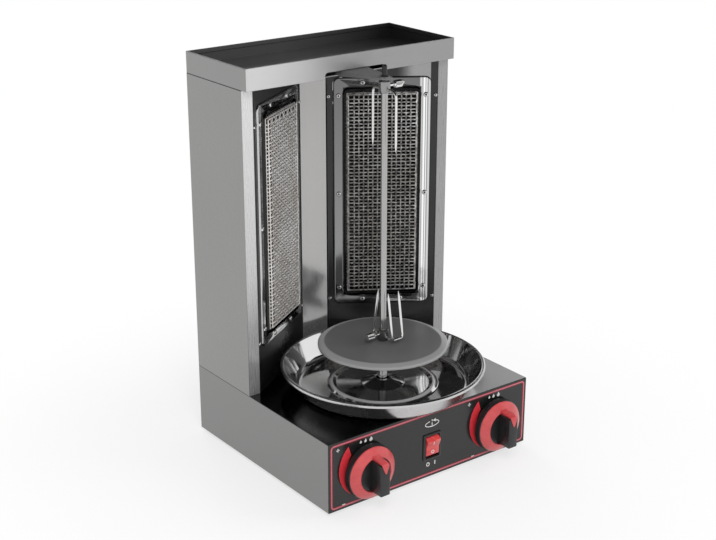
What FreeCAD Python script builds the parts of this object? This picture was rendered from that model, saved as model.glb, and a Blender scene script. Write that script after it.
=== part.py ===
import FreeCAD, Part
import math
import os
import Sketcher
from FreeCAD import Placement, Rotation, Vector

# A table-top gas doner grill: a stainless base box, a column with two upright ceramic burners set
# in a V, a warming tray on top, and a motor-driven spit standing in a drip pan in front of them.
# Millimetres. The origin is on the floor under the middle of the base, +Z up, front towards -Y.

# Driving dimensions
DIMENSIONS = {
    # sheet metal
    "sheet_gauge": 1.2,
    "panel_gauge": 1.2,
    # base box
    "base_width": 310,
    "base_depth": 285,
    "base_height": 89,
    "foot_height": 5,
    "foot_radius": 11,
    "foot_spread_x": 128,
    "foot_spread_y": 115,
    "front_frame_side": 14,
    "front_frame_edge": 12,
    # column and its lining
    "column_depth": 120,
    "column_height": 383,
    "column_flange": 15.5,
    "column_tab": 9,
    "centre_panel_width": 40,
    "centre_panel_front": 99.5,
    # tray
    "tray_depth": 131,
    "tray_height": 26.5,
    "tray_floor_up": 8.5,
    "notch_width": 88,
    "notch_height": 7.5,
    "notch_corner": 4,
    # burners, each drawn square to the front and turned by the burner angle
    "burner_x": 79.75,
    "burner_y": 61,
    "burner_angle": 32.8,
    "burner_middle": 303,
    "wall_width": 140.2,
    "window_width": 125,
    "window_height": 305,
    "frame_width": 124,
    "frame_height": 304,
    "frame_strip": 14,
    "frame_corner": 8,
    "cage_width": 94,
    "cage_height": 270,
    "cage_front": 9,
    "cage_gauge": 0.8,
    "cage_corner": 6,
    "mesh_bar": 1.8,
    "tile_width": 92,
    "tile_height": 132,
    "tile_thickness": 13,
    "body_depth": 40,
    "tube_back": 27.5,
    "tube_radius": 10,
    "screw_side_x": 55.5,
    "screw_top_x": 25,
    "wall_screw_x": 67.9,
    "wall_screw_up": 136,
    "wall_screw_drop": 8,
    # spit, disc and pan
    "spit_front": 45,
    "spit_radius": 4,
    "spit_top": 481,
    "socket_radius": 5.5,
    "socket_bottom": 101,
    "socket_top": 141,
    "disc_radius": 81,
    "disc_flat_radius": 73,
    "disc_top": 153,
    "disc_rim_drop": 6,
    "disc_gauge": 1.5,
    "pan_rim_radius": 128,
    "pan_rim_top": 123.5,
    "pan_foot_radius": 108,
    "pan_bead_radius": 64,
    "pan_cone_radius": 27,
    "pan_cone_top": 102.5,
    "pan_hole_radius": 8,
    "pan_gauge": 1,
    "running_gap": 0.05,
    # forks
    "fork_bar_radius": 1.8,
    "tine_radius": 1.5,
    "upper_fork_reach": 22,
    "lower_fork_reach": 19,
    "upper_tine_length": 72,
    "lower_tine_length": 60,
    "lower_tine_lean": 9,
    "side_tine_offset": 16,
    "fork_hub_height": 14,
    "thumb_screw_reach": 25,
    # top bracket and pin
    "bracket_half_width": 18.7,
    "bracket_height": 7,
    "bracket_gauge": 1.5,
    "bracket_back": 90,
    "bracket_tip": 8,
    "pin_radius": 3,
    "pin_top": 499,
    # knobs and valves
    "knob_x": 100.5,
    "knob_up": 47,
    "knob_radius": 34.3,
    "ring_outer": 33,
    "ring_inner": 21.8,
    "grip_width": 13.5,
    "grip_half_length": 20.2,
    "grip_front": 37.5,
    "knob_face": 17,
    "valve_radius": 11,
    "plug_radius": 6,
    "spindle_radius": 3.5,
    # gas pipes
    "rail_front": 98,
    "rail_radius": 6.5,
    "rail_half_length": 118,
    "gas_tube_radius": 3,
    "gas_tube_low": 22,
    "inlet_x": 134,
    "inlet_reach": 180.9,
    # drive
    "motor_radius": 25,
    "motor_plate_up": 80,
    "drive_top": 118,
    # switch
    "switch_up": 46,
    "bezel_width": 28,
    "bezel_height": 35,
    "rocker_width": 20,
    "rocker_tilt": 11,
    "rocker_pivot_front": 140.5,
    # mains inlet
    "mains_x": 110,
    "mains_up": 47,
    # fasteners
    "screw_radius": 1.7,
    "screw_head": 3.5,
}

document = FreeCAD.newDocument("DonerGrill")
sheet = document.addObject("Spreadsheet::Sheet", "Dims")
for row, (alias, number) in enumerate(DIMENSIONS.items(), start=1):
    sheet.set(f"A{row}", alias)
    sheet.set(f"B{row}", str(number))
    sheet.setAlias(f"B{row}", alias)
document.recompute()

nodes = []


# A size is a number together with the sheet expression that it comes from
class Size:
    def __init__(self, number, text):
        self.number = float(number)
        self.text = text

    def __add__(self, other):
        other = as_size(other)
        return Size(self.number + other.number, f"({self.text} + {other.text})")

    def __sub__(self, other):
        other = as_size(other)
        return Size(self.number - other.number, f"({self.text} - {other.text})")

    def __mul__(self, other):
        other = as_size(other)
        return Size(self.number * other.number, f"({self.text} * {other.text})")

    def __truediv__(self, other):
        other = as_size(other)
        return Size(self.number / other.number, f"({self.text} / {other.text})")

    def __neg__(self):
        return Size(-self.number, f"(0 - {self.text})")

    def __radd__(self, other):
        return as_size(other) + self

    def __rsub__(self, other):
        return as_size(other) - self

    def __rmul__(self, other):
        return as_size(other) * self


def as_size(value):
    if isinstance(value, Size):
        return value
    return Size(value, f"({value})" if value < 0 else f"{value}")


class Dimension:
    def __getattr__(self, alias):
        return Size(sheet.get(alias), f"Dims.{alias}")


d = Dimension()

# Places that several pieces share
BASE_TOP = d.foot_height + d.base_height
COLUMN_TOP = BASE_TOP + d.column_height
COLUMN_FRONT = d.base_depth / 2 - d.column_depth
BACK = d.base_depth / 2
SIDE = d.base_width / 2
PANEL_BACK = d.base_depth / 2 - d.panel_gauge
SPIT_Y = -d.spit_front
TRAY_FLOOR = COLUMN_TOP + d.tray_floor_up
BRACKET_TOP = COLUMN_TOP + d.bracket_height


# Binding and placing

def bind(thing, prop, size):
    thing.setExpression(prop, as_size(size).text)


def place(thing, at, turn=None):
    for axis, size in zip("xyz", at):
        bind(thing, f"Placement.Base.{axis}", size)
    if turn is not None:
        axis, angle = turn
        thing.Placement = Placement(Vector(0, 0, 0), Rotation(axis, 1))
        bind(thing, "Placement.Rotation.Angle", angle)


def node(thing, label):
    thing.Label = label
    nodes.append(thing)
    return thing


# Part primitives and booleans

def block(name, low, high):
    box = document.addObject("Part::Box", name)
    low = [as_size(size) for size in low]
    high = [as_size(size) for size in high]
    for prop, near, far in zip(("Length", "Width", "Height"), low, high):
        bind(box, prop, far - near)
    place(box, low)
    return box


TURNS = {
    "x": Rotation(Vector(0, 1, 0), 90),
    "y": Rotation(Vector(1, 0, 0), -90),
    "z": Rotation(),
    "-x": Rotation(Vector(0, 1, 0), -90),
    "-y": Rotation(Vector(1, 0, 0), 90),
    "-z": Rotation(Vector(1, 0, 0), 180),
}


def rod(name, radius, length, at, along="z"):
    cylinder = document.addObject("Part::Cylinder", name)
    bind(cylinder, "Radius", radius)
    bind(cylinder, "Height", length)
    cylinder.Placement = Placement(Vector(0, 0, 0), TURNS[along])
    place(cylinder, at)
    return cylinder


def cone(name, radius, tip_radius, length, at, along="z"):
    tapered = document.addObject("Part::Cone", name)
    bind(tapered, "Radius1", radius)
    bind(tapered, "Radius2", tip_radius)
    bind(tapered, "Height", length)
    tapered.Placement = Placement(Vector(0, 0, 0), TURNS[along])
    place(tapered, at)
    return tapered


def fuse(name, shapes):
    joined = document.addObject("Part::MultiFuse", name)
    joined.Shapes = shapes
    joined.Refine = True
    return joined


def cut(name, base, tools):
    result = document.addObject("Part::Cut", name)
    result.Base = base
    result.Tool = tools[0] if len(tools) == 1 else fuse(f"{name}_tools", tools)
    result.Refine = True
    return result


# PartDesign bodies, sketches and features

def new_body(label):
    body = document.addObject("PartDesign::Body", label)
    return node(body, label)


def new_sketch(body, role, up=None):
    sketch = body.newObject("Sketcher::SketchObject", f"{body.Name}_sketch")
    plane = [feature for feature in body.Origin.OriginFeatures if feature.Role == role][0]
    sketch.AttachmentSupport = [(plane, "")]
    sketch.MapMode = "FlatFace"
    if up is not None:
        bind(sketch, "AttachmentOffset.Base.z", up)
    return sketch


def fix_point(sketch, element, corner, place_pair):
    for kind, size, axis in (("DistanceX", place_pair[0], -2), ("DistanceY", place_pair[1], -1)):
        size = as_size(size)
        if abs(size.number) < 1e-9:
            sketch.addConstraint(Sketcher.Constraint("PointOnObject", element, corner, axis))
        else:
            number = sketch.addConstraint(
                Sketcher.Constraint(kind, -1, 1, element, corner, size.number)
            )
            sketch.setExpression(f"Constraints[{number}]", size.text)


def polygon(sketch, points):
    points = [(as_size(across), as_size(up)) for across, up in points]
    first = sketch.GeometryCount
    count = len(points)
    for index, (across, up) in enumerate(points):
        next_across, next_up = points[(index + 1) % count]
        start = Vector(across.number, up.number, 0)
        end = Vector(next_across.number, next_up.number, 0)
        sketch.addGeometry(Part.LineSegment(start, end), False)
    for index in range(count):
        following = first + (index + 1) % count
        sketch.addConstraint(Sketcher.Constraint("Coincident", first + index, 2, following, 1))
    for index, pair in enumerate(points):
        fix_point(sketch, first + index, 1, pair)
    return sketch


def rectangle(sketch, low, high):
    return polygon(sketch, [low, (high[0], low[1]), high, (low[0], high[1])])


def circle(sketch, centre, radius):
    centre = [as_size(size) for size in centre]
    radius = as_size(radius)
    middle = Vector(centre[0].number, centre[1].number, 0)
    element = sketch.addGeometry(Part.Circle(middle, Vector(0, 0, 1), radius.number), False)
    fix_point(sketch, element, 3, centre)
    number = sketch.addConstraint(Sketcher.Constraint("Radius", element, radius.number))
    sketch.setExpression(f"Constraints[{number}]", radius.text)
    return sketch


def pad(body, sketch, length, both_ways=False):
    feature = body.newObject("PartDesign::Pad", f"{body.Name}_pad")
    feature.Profile = sketch
    bind(feature, "Length", length)
    feature.Midplane = both_ways
    document.recompute()
    return feature


def pocket(body, sketch, length, both_ways=False, reverse=False):
    before = body.Shape.Volume
    feature = body.newObject("PartDesign::Pocket", f"{body.Name}_pocket")
    feature.Profile = sketch
    bind(feature, "Length", length)
    feature.Midplane = both_ways
    feature.Reversed = reverse
    document.recompute()
    if body.Shape.Volume > before - 1e-6:
        raise ValueError(f"the pocket in {body.Label} removes nothing")
    return feature


def revolve(body, sketch, axis="V_Axis"):
    feature = body.newObject("PartDesign::Revolution", f"{body.Name}_revolution")
    feature.Profile = sketch
    feature.ReferenceAxis = (sketch, [axis])
    feature.Angle = 360
    document.recompute()
    return feature


def round_edges(body, feature, radius, chosen):
    names = [
        f"Edge{number}"
        for number, edge in enumerate(feature.Shape.Edges, start=1)
        if chosen(edge)
    ]
    if not names:
        raise ValueError(f"no edge to round in {body.Label}")
    fillet = body.newObject("PartDesign::Fillet", f"{body.Name}_fillet")
    fillet.Base = (feature, names)
    bind(fillet, "Radius", radius)
    document.recompute()
    return fillet


def runs_along(edge, direction):
    if len(edge.Vertexes) != 2:
        return False
    span = edge.Vertexes[1].Point - edge.Vertexes[0].Point
    return span.cross(direction).Length < 1e-6


def is_ring(edge, radius, height):
    curve = edge.Curve
    if not isinstance(curve, Part.Circle):
        return False
    return abs(curve.Radius - radius) < 0.02 and abs(curve.Center.z - height) < 0.02


# Base box

def make_base():
    gauge = d.sheet_gauge
    outer = block("base_outer", (-SIDE, -PANEL_BACK, d.foot_height), (SIDE, BACK, BASE_TOP))
    inner = block(
        "base_inner",
        (-SIDE + gauge, -PANEL_BACK + gauge, d.foot_height - 1),
        (SIDE - gauge, BACK - gauge, BASE_TOP - gauge),
    )
    front = block(
        "base_front_opening",
        (-SIDE + d.front_frame_side, -PANEL_BACK - 1, d.foot_height + d.front_frame_edge),
        (SIDE - d.front_frame_side, -PANEL_BACK + gauge + 1, BASE_TOP - d.front_frame_edge),
    )
    holes = [
        rod("base_bush_hole", 7.05, 4, (0, SPIT_Y, BASE_TOP - 2)),
        rod("base_gas_hole", 7, 6, (d.inlet_x, BACK - 4, d.knob_up), "y"),
        block(
            "base_mains_hole",
            (-d.mains_x - 14.2, BACK - 4, d.mains_up - 9.2),
            (-d.mains_x + 14.2, BACK + 2, d.mains_up + 9.2),
        ),
    ]
    for side in (-1, 1):
        x, y = burner_point(side, 0, d.tube_back.number)
        holes.append(rod("base_tube_hole", 14, 4, (x, y, BASE_TOP - 2)))
    for x, y, z, along in case_screw_places():
        if along == "y" and z.number < BASE_TOP.number:
            holes.append(rod("base_screw_hole", 1.8, 6, (x, y - 4, z), "y"))
        if along == "-z" and z.number < COLUMN_TOP.number:
            holes.append(rod("base_screw_hole", 1.8, 6, (x, y, BASE_TOP - 3)))
        if along == "z":
            holes.append(rod("base_screw_hole", 1.8, 3.5, (x, y, BASE_TOP - 3)))
    node(cut("base_shell_cut", outer, [inner, front] + holes), "base_shell")

    plate = new_body("base_bottom_plate")
    low = (-SIDE + gauge + 0.1, -PANEL_BACK + gauge + 0.1)
    high = (SIDE - gauge - 0.1, BACK - gauge - 0.1)
    outline = rectangle(new_sketch(plate, "XY_Plane", d.foot_height), low, high)
    pad(plate, outline, 8)
    hollow = rectangle(
        new_sketch(plate, "XY_Plane", d.foot_height + 8),
        (low[0] + gauge, low[1] + gauge),
        (high[0] - gauge, high[1] - gauge),
    )
    pocket(plate, hollow, 8 - gauge)
    holes = new_sketch(plate, "XY_Plane", d.foot_height + gauge)
    for x, y in foot_places():
        circle(holes, (x, y), 3)
    pocket(plate, holes, gauge + 1)
    slot = rectangle(new_sketch(plate, "XY_Plane", d.foot_height + gauge), (-60, -60), (-56, 0))
    vent = pocket(plate, slot, gauge + 1)
    vents = plate.newObject("PartDesign::LinearPattern", "vent_row")
    vents.Originals = [vent]
    vents.Direction = (slot, ["H_Axis"])
    vents.Length = 112
    vents.Occurrences = 9
    plate.Tip = vents
    document.recompute()
    screws = new_sketch(plate, "XZ_Plane", -(BACK - gauge - 0.1 - gauge) + 1)
    for x, y, z, along in case_screw_places():
        if along == "y" and z.number < BASE_TOP.number:
            circle(screws, (x, z), 1.8)
    pocket(plate, screws, gauge + 3)


def foot_places():
    return [
        (side_x * d.foot_spread_x, side_y * d.foot_spread_y)
        for side_x in (-1, 1)
        for side_y in (-1, 1)
    ]


def make_feet():
    feet = []
    for x, y in foot_places():
        tread = cone("foot_tread", d.foot_radius, d.foot_radius - 1, d.foot_height, (x, y, 0))
        stem = rod("foot_stem", 2.9, d.sheet_gauge + 1, (x, y, d.foot_height - 0.5))
        head = cone("foot_head", 4.6, 3, 2.6, (x, y, d.foot_height + d.sheet_gauge))
        feet.append(fuse("foot", [tread, stem, head]))
    group = document.addObject("Part::Compound", "feet_group")
    group.Links = feet
    node(group, "feet")


def make_front_panel():
    panel = new_body("front_panel")
    outline = new_sketch(panel, "XZ_Plane", PANEL_BACK)
    rectangle(outline, (-SIDE, d.foot_height), (SIDE, BASE_TOP))
    pad(panel, outline, d.panel_gauge)
    openings = new_sketch(panel, "XZ_Plane", PANEL_BACK + d.panel_gauge)
    for side in (-1, 1):
        circle(openings, (side * d.knob_x, d.knob_up), 6)
    rectangle(openings, (-12, d.switch_up - 15.5), (12, d.switch_up + 15.5))
    pocket(panel, openings, d.panel_gauge + 1)


# Column, its lining and the tray

def make_column():
    gauge = d.sheet_gauge
    shell = new_body("column_shell")
    inner_x = SIDE - gauge
    flange_x = SIDE - d.column_flange
    wrap = new_sketch(shell, "XY_Plane", BASE_TOP)
    polygon(
        wrap,
        [
            (-flange_x, COLUMN_FRONT),
            (-SIDE, COLUMN_FRONT),
            (-SIDE, BACK),
            (SIDE, BACK),
            (SIDE, COLUMN_FRONT),
            (flange_x, COLUMN_FRONT),
            (flange_x, COLUMN_FRONT + gauge),
            (inner_x, COLUMN_FRONT + gauge),
            (inner_x, BACK - gauge),
            (-inner_x, BACK - gauge),
            (-inner_x, COLUMN_FRONT + gauge),
            (-flange_x, COLUMN_FRONT + gauge),
        ],
    )
    pad(shell, wrap, d.column_height)
    tabs = new_sketch(shell, "XY_Plane", BASE_TOP)
    for side in (-1, 1):
        near = (side * (inner_x - d.column_tab), COLUMN_FRONT + gauge)
        far = (side * (inner_x + gauge / 2), BACK - gauge)
        rectangle(tabs, near, far)
    pad(shell, tabs, gauge)
    slot = rectangle(
        new_sketch(shell, "XZ_Plane", -(BACK - gauge - 1)),
        (-92, COLUMN_TOP - 70),
        (-87, COLUMN_TOP - 22),
    )
    vent = pocket(shell, slot, gauge + 3)
    vents = shell.newObject("PartDesign::LinearPattern", "vent_row")
    vents.Originals = [vent]
    vents.Direction = (slot, ["H_Axis"])
    vents.Length = 179
    vents.Occurrences = 13
    shell.Tip = vents
    document.recompute()
    holes = new_sketch(shell, "XZ_Plane", -(BACK - gauge - 1))
    for x, y, z, along in case_screw_places():
        if along == "y" and z.number > BASE_TOP.number:
            circle(holes, (x, z), 1.8)
    pocket(shell, holes, gauge + 3)
    holes = new_sketch(shell, "XY_Plane", BASE_TOP + gauge + 1)
    for x, y, z, along in case_screw_places():
        if along == "-z" and z.number < COLUMN_TOP.number:
            circle(holes, (x, y), 1.8)
    pocket(shell, holes, gauge + 2)

    outer = block(
        "top_plate_outer",
        (-inner_x + 0.1, COLUMN_FRONT + gauge + 0.1, COLUMN_TOP - 9.2),
        (inner_x - 0.1, BACK - gauge - 0.1, COLUMN_TOP),
    )
    under = block(
        "top_plate_under",
        (-inner_x + 0.1 + gauge, COLUMN_FRONT, COLUMN_TOP - 10),
        (inner_x - 0.1 - gauge, BACK - gauge - 0.1 - gauge, COLUMN_TOP - gauge),
    )
    holes = []
    for x, y, z, along in case_screw_places():
        if along == "y" and z.number > BASE_TOP.number:
            holes.append(rod("top_plate_hole", 1.8, 8, (x, y - 6, z), "y"))
        if along == "-z" and z.number > COLUMN_TOP.number:
            holes.append(rod("top_plate_hole", 1.8, 6, (x, y, COLUMN_TOP - 4)))
    node(cut("column_top_plate_cut", outer, [under] + holes), "column_top_plate")

    centre = new_body("centre_panel")
    half = d.centre_panel_width / 2
    front = d.centre_panel_front
    back = BACK - gauge - 1.5
    channel = new_sketch(centre, "XY_Plane", BASE_TOP)
    polygon(
        channel,
        [
            (-half, front),
            (half, front),
            (half, back),
            (half - gauge, back),
            (half - gauge, front + gauge),
            (-half + gauge, front + gauge),
            (-half + gauge, back),
            (-half, back),
        ],
    )
    pad(centre, channel, d.column_height - gauge - 0.1)


def make_tray():
    gauge = d.sheet_gauge
    front = BACK - d.tray_depth
    top = COLUMN_TOP + d.tray_height
    outer = block("tray_outer", (-SIDE, front, COLUMN_TOP), (SIDE, BACK, top))
    hollow = block(
        "tray_hollow",
        (-SIDE + gauge, front + gauge, TRAY_FLOOR + gauge),
        (SIDE - gauge, BACK - gauge, top - 5),
    )
    mouth = block(
        "tray_mouth",
        (-SIDE + 2 * gauge, front + 2 * gauge, top - 6),
        (SIDE - 2 * gauge, BACK - 2 * gauge, top + 1),
    )
    under = block(
        "tray_under",
        (-SIDE + gauge, front + gauge, COLUMN_TOP - 1),
        (SIDE - gauge, BACK - gauge, TRAY_FLOOR),
    )
    half = d.notch_width / 2
    notch_top = COLUMN_TOP + d.notch_height
    corner = d.notch_corner
    inside = half - corner
    low = COLUMN_TOP - 1
    notch = [
        block("notch_low", (-half, front - 1, low), (half, front + 3, notch_top - corner)),
        block("notch_high", (-inside, front - 1, low), (inside, front + 3, notch_top)),
    ]
    for side in (-1, 1):
        at = (side * inside, front - 1, notch_top - corner)
        notch.append(rod("notch_corner", corner, 4, at, "y"))
    node(cut("top_tray_cut", outer, [hollow, mouth, under] + notch), "top_tray")


# Burners, in a frame of their own: X along the burner's face, front towards -Y, height as built

def burner_point(side, across, back):
    angle = math.radians(d.burner_angle.number)
    x = side * (across * math.cos(angle) + back * math.sin(angle)) + side * d.burner_x.number
    y = -across * math.sin(angle) + back * math.cos(angle) + d.burner_y.number
    return x, y


def turn_to_burner(thing, side):
    at = (side * d.burner_x, d.burner_y, 0)
    place(thing, at, (Vector(0, 0, 1), -side * d.burner_angle))


def screw_places_on_frame():
    up = d.frame_height / 2 - 6.5
    places = [(side * d.screw_top_x, level * up) for side in (-1, 1) for level in (-1, 1)]
    places += [(side * d.screw_side_x, level * 129) for side in (-1, 1) for level in (-1, 0, 1)]
    return places


def wall_screw_places():
    return [
        (side * d.wall_screw_x, level * d.wall_screw_up - d.wall_screw_drop)
        for side in (-1, 1)
        for level in (-1, 1)
    ]


def rounded_slab(name, width, height, corner, front, back):
    middle = d.burner_middle
    across = width / 2
    up = height / 2
    inside_x = across - corner
    inside_z = up - corner
    parts = [
        block(f"{name}_tall", (-inside_x, front, middle - up), (inside_x, back, middle + up)),
        block(f"{name}_wide", (-across, front, middle - inside_z), (across, back, middle + inside_z)),
    ]
    for side in (-1, 1):
        for level in (-1, 1):
            at = (side * inside_x, front, middle + level * inside_z)
            parts.append(rod(f"{name}_corner", corner, as_size(back) - front, at, "y"))
    return fuse(name, parts)


def make_burner(side, word):
    gauge = d.sheet_gauge
    middle = d.burner_middle

    reach = d.wall_width / 2
    wall = block("wall_sheet", (-reach, 0, BASE_TOP), (reach, gauge, COLUMN_TOP - gauge - 0.1))
    window = rounded_slab("wall_window", d.window_width, d.window_height, d.frame_corner, -2, 4)
    holes = [
        rod("wall_hole", 1.5, 6, (across, -2, middle + up), "y")
        for across, up in wall_screw_places()
    ]
    wall = cut("burner_wall_cut", wall, [window] + holes)
    turn_to_burner(wall, side)
    node(wall, f"burner_wall_{word}")

    seat_x = d.tile_width / 2 + 0.05
    seat_z = d.tile_height + 0.55
    box_x = d.cage_width / 2
    box_z = d.cage_height / 2
    flange_front = gauge
    flange_back = 2 * gauge
    shell = block(
        "burner_box",
        (-box_x, flange_back, middle - box_z),
        (box_x, flange_back + d.body_depth, middle + box_z),
    )
    flange = block(
        "burner_flange",
        (-d.frame_width / 2 + 0.5, flange_front, middle - d.frame_height / 2 + 0.5),
        (d.frame_width / 2 - 0.5, flange_back, middle + d.frame_height / 2 - 0.5),
    )
    ears = []
    for level in (-1, 1):
        centre = middle + level * d.wall_screw_up - d.wall_screw_drop
        near = (-reach, flange_front, centre - 7)
        ears.append(block("burner_ear", near, (reach, flange_back, centre + 7)))
    seat = block(
        "tile_seat",
        (-seat_x, 0, middle - seat_z),
        (seat_x, 1.5 + d.tile_thickness, middle + seat_z),
    )
    plenum = block(
        "plenum",
        (-box_x + 4, 10, middle - box_z + 4),
        (box_x - 4, flange_back + d.body_depth - 2, middle + box_z - 4),
    )
    throat = rod("throat", d.tube_radius - 1.2, 10, (0, d.tube_back, middle - box_z - 1))
    holes = [
        rod("flange_hole", 1.5, 8, (across, -2, middle + up), "y")
        for across, up in screw_places_on_frame() + wall_screw_places()
    ]
    casting = fuse("burner_casting", [shell, flange] + ears)
    casting = cut("burner_body_cut", casting, [seat, plenum, throat] + holes)
    turn_to_burner(casting, side)
    node(casting, f"burner_body_{word}")

    tiles = document.addObject("Part::Compound", "tile_pair")
    tiles.Links = [
        block(
            "tile",
            (-d.tile_width / 2, 1.5, low),
            (d.tile_width / 2, 1.5 + d.tile_thickness, low + d.tile_height),
        )
        for low in (middle - d.tile_height - 0.5, middle + 0.5)
    ]
    turn_to_burner(tiles, side)
    node(tiles, f"ceramic_tiles_{word}")

    make_frame(side, word)
    make_cage(side, word)

    tube = new_body(f"mixing_tube_{word}")
    profile = new_sketch(tube, "XZ_Plane")
    outer = d.tube_radius
    bottom = BASE_TOP - 34
    top = middle - d.cage_height / 2
    polygon(
        profile,
        [
            (outer - 1.2, bottom + 14),
            (outer - 1.2, top),
            (outer, top),
            (outer, bottom + 14),
            (outer + 3, bottom),
            (outer + 1.8, bottom),
        ],
    )
    revolve(tube, profile)
    x, y = burner_point(side, 0, d.tube_back.number)
    place(tube, (x, y, 0))


def make_frame(side, word):
    front = as_size(-2)
    back = d.sheet_gauge
    skin = 1.2
    outer = rounded_slab("frame_outer", d.frame_width, d.frame_height, d.frame_corner, front, back)
    lip_width = d.frame_width - 2 * d.frame_strip
    lip_height = d.frame_height - 2 * d.frame_strip
    lip = rounded_slab("frame_lip", lip_width + 2.4, lip_height + 2.4, d.frame_corner, -5, front + 1)
    behind = rounded_slab(
        "frame_behind",
        d.frame_width - 2 * skin,
        d.frame_height - 2 * skin,
        d.frame_corner - skin,
        front + skin,
        back + 1,
    )
    window = rounded_slab("frame_window", lip_width, lip_height, d.frame_corner - skin, -7, 2)
    holes = [
        rod("frame_hole", 1.5, 4, (across, -4, d.burner_middle + up), "y")
        for across, up in screw_places_on_frame()
    ]
    solid = fuse("frame_solid", [outer, lip])
    frame = cut("burner_frame_cut", solid, [behind, window] + holes)
    turn_to_burner(frame, side)
    node(frame, f"burner_frame_{word}")


def rounded_outline(half_width, half_height, corner, middle, depth):
    across, up = half_width, half_height
    side, level = across - corner, up - corner
    slant = corner * math.sqrt(0.5)
    arcs = []
    for x_sign, z_sign in ((1, 1), (-1, 1), (-1, -1), (1, -1)):
        centre_x, centre_z = x_sign * side, middle + z_sign * level
        flat = Vector(centre_x + x_sign * corner, depth, centre_z)
        bend = Vector(centre_x + x_sign * slant, depth, centre_z + z_sign * slant)
        cap = Vector(centre_x, depth, centre_z + z_sign * corner)
        ends = (flat, bend, cap) if x_sign == z_sign else (cap, bend, flat)
        arcs.append(ends)
    edges = []
    for index, (start, bend, end) in enumerate(arcs):
        edges.append(Part.Arc(start, bend, end).toShape())
        edges.append(Part.makeLine(end, arcs[(index + 1) % 4][0]))
    return Part.Wire(edges)


def sheet_with_holes(outlines):
    return Part.makeFace(outlines, "Part::FaceMakerBullseye")


# The wire guard is one bent sheet of mesh: a face with square gaps, and a rim turned back
def make_cage(side, word):
    half_width = d.cage_width.number / 2
    half_height = d.cage_height.number / 2
    corner = d.cage_corner.number
    gauge = d.cage_gauge.number
    middle = d.burner_middle.number
    front = -d.cage_front.number
    bar = d.mesh_bar.number
    columns, rows = 10, 28
    border = 4
    pitch_x = (2 * half_width - 2 * border + bar) / columns
    pitch_z = (2 * half_height - 2 * border + bar) / rows
    outline = rounded_outline(half_width, half_height, corner, middle, front)
    gaps = []
    for column in range(columns):
        for row in range(rows):
            x = -half_width + border + column * pitch_x
            z = middle - half_height + border + row * pitch_z
            corners = [
                Vector(x, front, z),
                Vector(x + pitch_x - bar, front, z),
                Vector(x + pitch_x - bar, front, z + pitch_z - bar),
                Vector(x, front, z + pitch_z - bar),
            ]
            gaps.append(Part.makePolygon(corners + corners[:1]))
    net = sheet_with_holes([outline] + gaps).extrude(Vector(0, gauge, 0))
    inner = rounded_outline(half_width - gauge, half_height - gauge, corner - gauge, middle, front)
    rim_depth = -front + d.sheet_gauge.number
    rim = sheet_with_holes([outline, inner]).extrude(Vector(0, rim_depth, 0))
    cage = document.addObject("Part::Feature", f"burner_mesh_{word}")
    cage.Shape = net.fuse(rim).removeSplitter().Solids[0]
    turn_to_burner(cage, side)
    node(cage, f"burner_mesh_{word}")


def make_burner_screws():
    small_radius = 1.4
    groups = {"burner_screws": [], "wall_screws": []}
    for side in (-1, 1):
        for name, places, face in (
            ("burner_screws", screw_places_on_frame(), -2),
            ("wall_screws", wall_screw_places(), 0),
        ):
            for across, up in places:
                level = d.burner_middle + up
                wide = 2.8 if name == "burner_screws" else 2.1
                head = cone("screw_head", wide, wide - 0.8, 1.6, (across, face, level), "-y")
                shank = rod("screw_shank", small_radius, 6.5, (across, face - 0.5, level), "y")
                screw = fuse("small_screw", [head, shank])
                turn_to_burner(screw, side)
                groups[name].append(screw)
    for name, screws in groups.items():
        group = document.addObject("Part::Compound", f"{name}_group")
        group.Links = screws
        node(group, name)


# Gas supply, from the inlet at the back to the jets under the burners

def bent_tube(name, points, outer, inner, bend):
    corners = [Vector(*[as_size(size).number for size in point]) for point in points]
    edges = []
    start = corners[0]
    for before, here, after in zip(corners, corners[1:], corners[2:]):
        into = (here - before).normalize()
        out = (after - here).normalize()
        turn = into.getAngle(out)
        trim = bend * math.tan(turn / 2)
        arc_start = here - into * trim
        arc_end = here + out * trim
        inside = (out - into).normalize()
        centre = here + inside * (bend / math.cos(turn / 2))
        arc_middle = centre - inside * bend
        edges.append(Part.makeLine(start, arc_start))
        edges.append(Part.Arc(arc_start, arc_middle, arc_end).toShape())
        start = arc_end
    edges.append(Part.makeLine(start, corners[-1]))
    path = Part.Wire(edges)
    heading = (corners[1] - corners[0]).normalize()
    tubes = []
    for radius in (outer, inner):
        if radius:
            ring = Part.Wire([Part.makeCircle(radius, corners[0], heading)])
            tubes.append(path.makePipeShell([ring], True, False))
    shape = tubes[0] if len(tubes) == 1 else tubes[0].cut(tubes[1])
    expected = math.pi * (outer**2 - inner**2) * path.Length
    print(f"{name}: length {path.Length:.1f}, bend {bend}")
    print(f"{name}: volume over section times length {shape.Volume / expected:.4f}")
    return shape.Solids[0]


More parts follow.
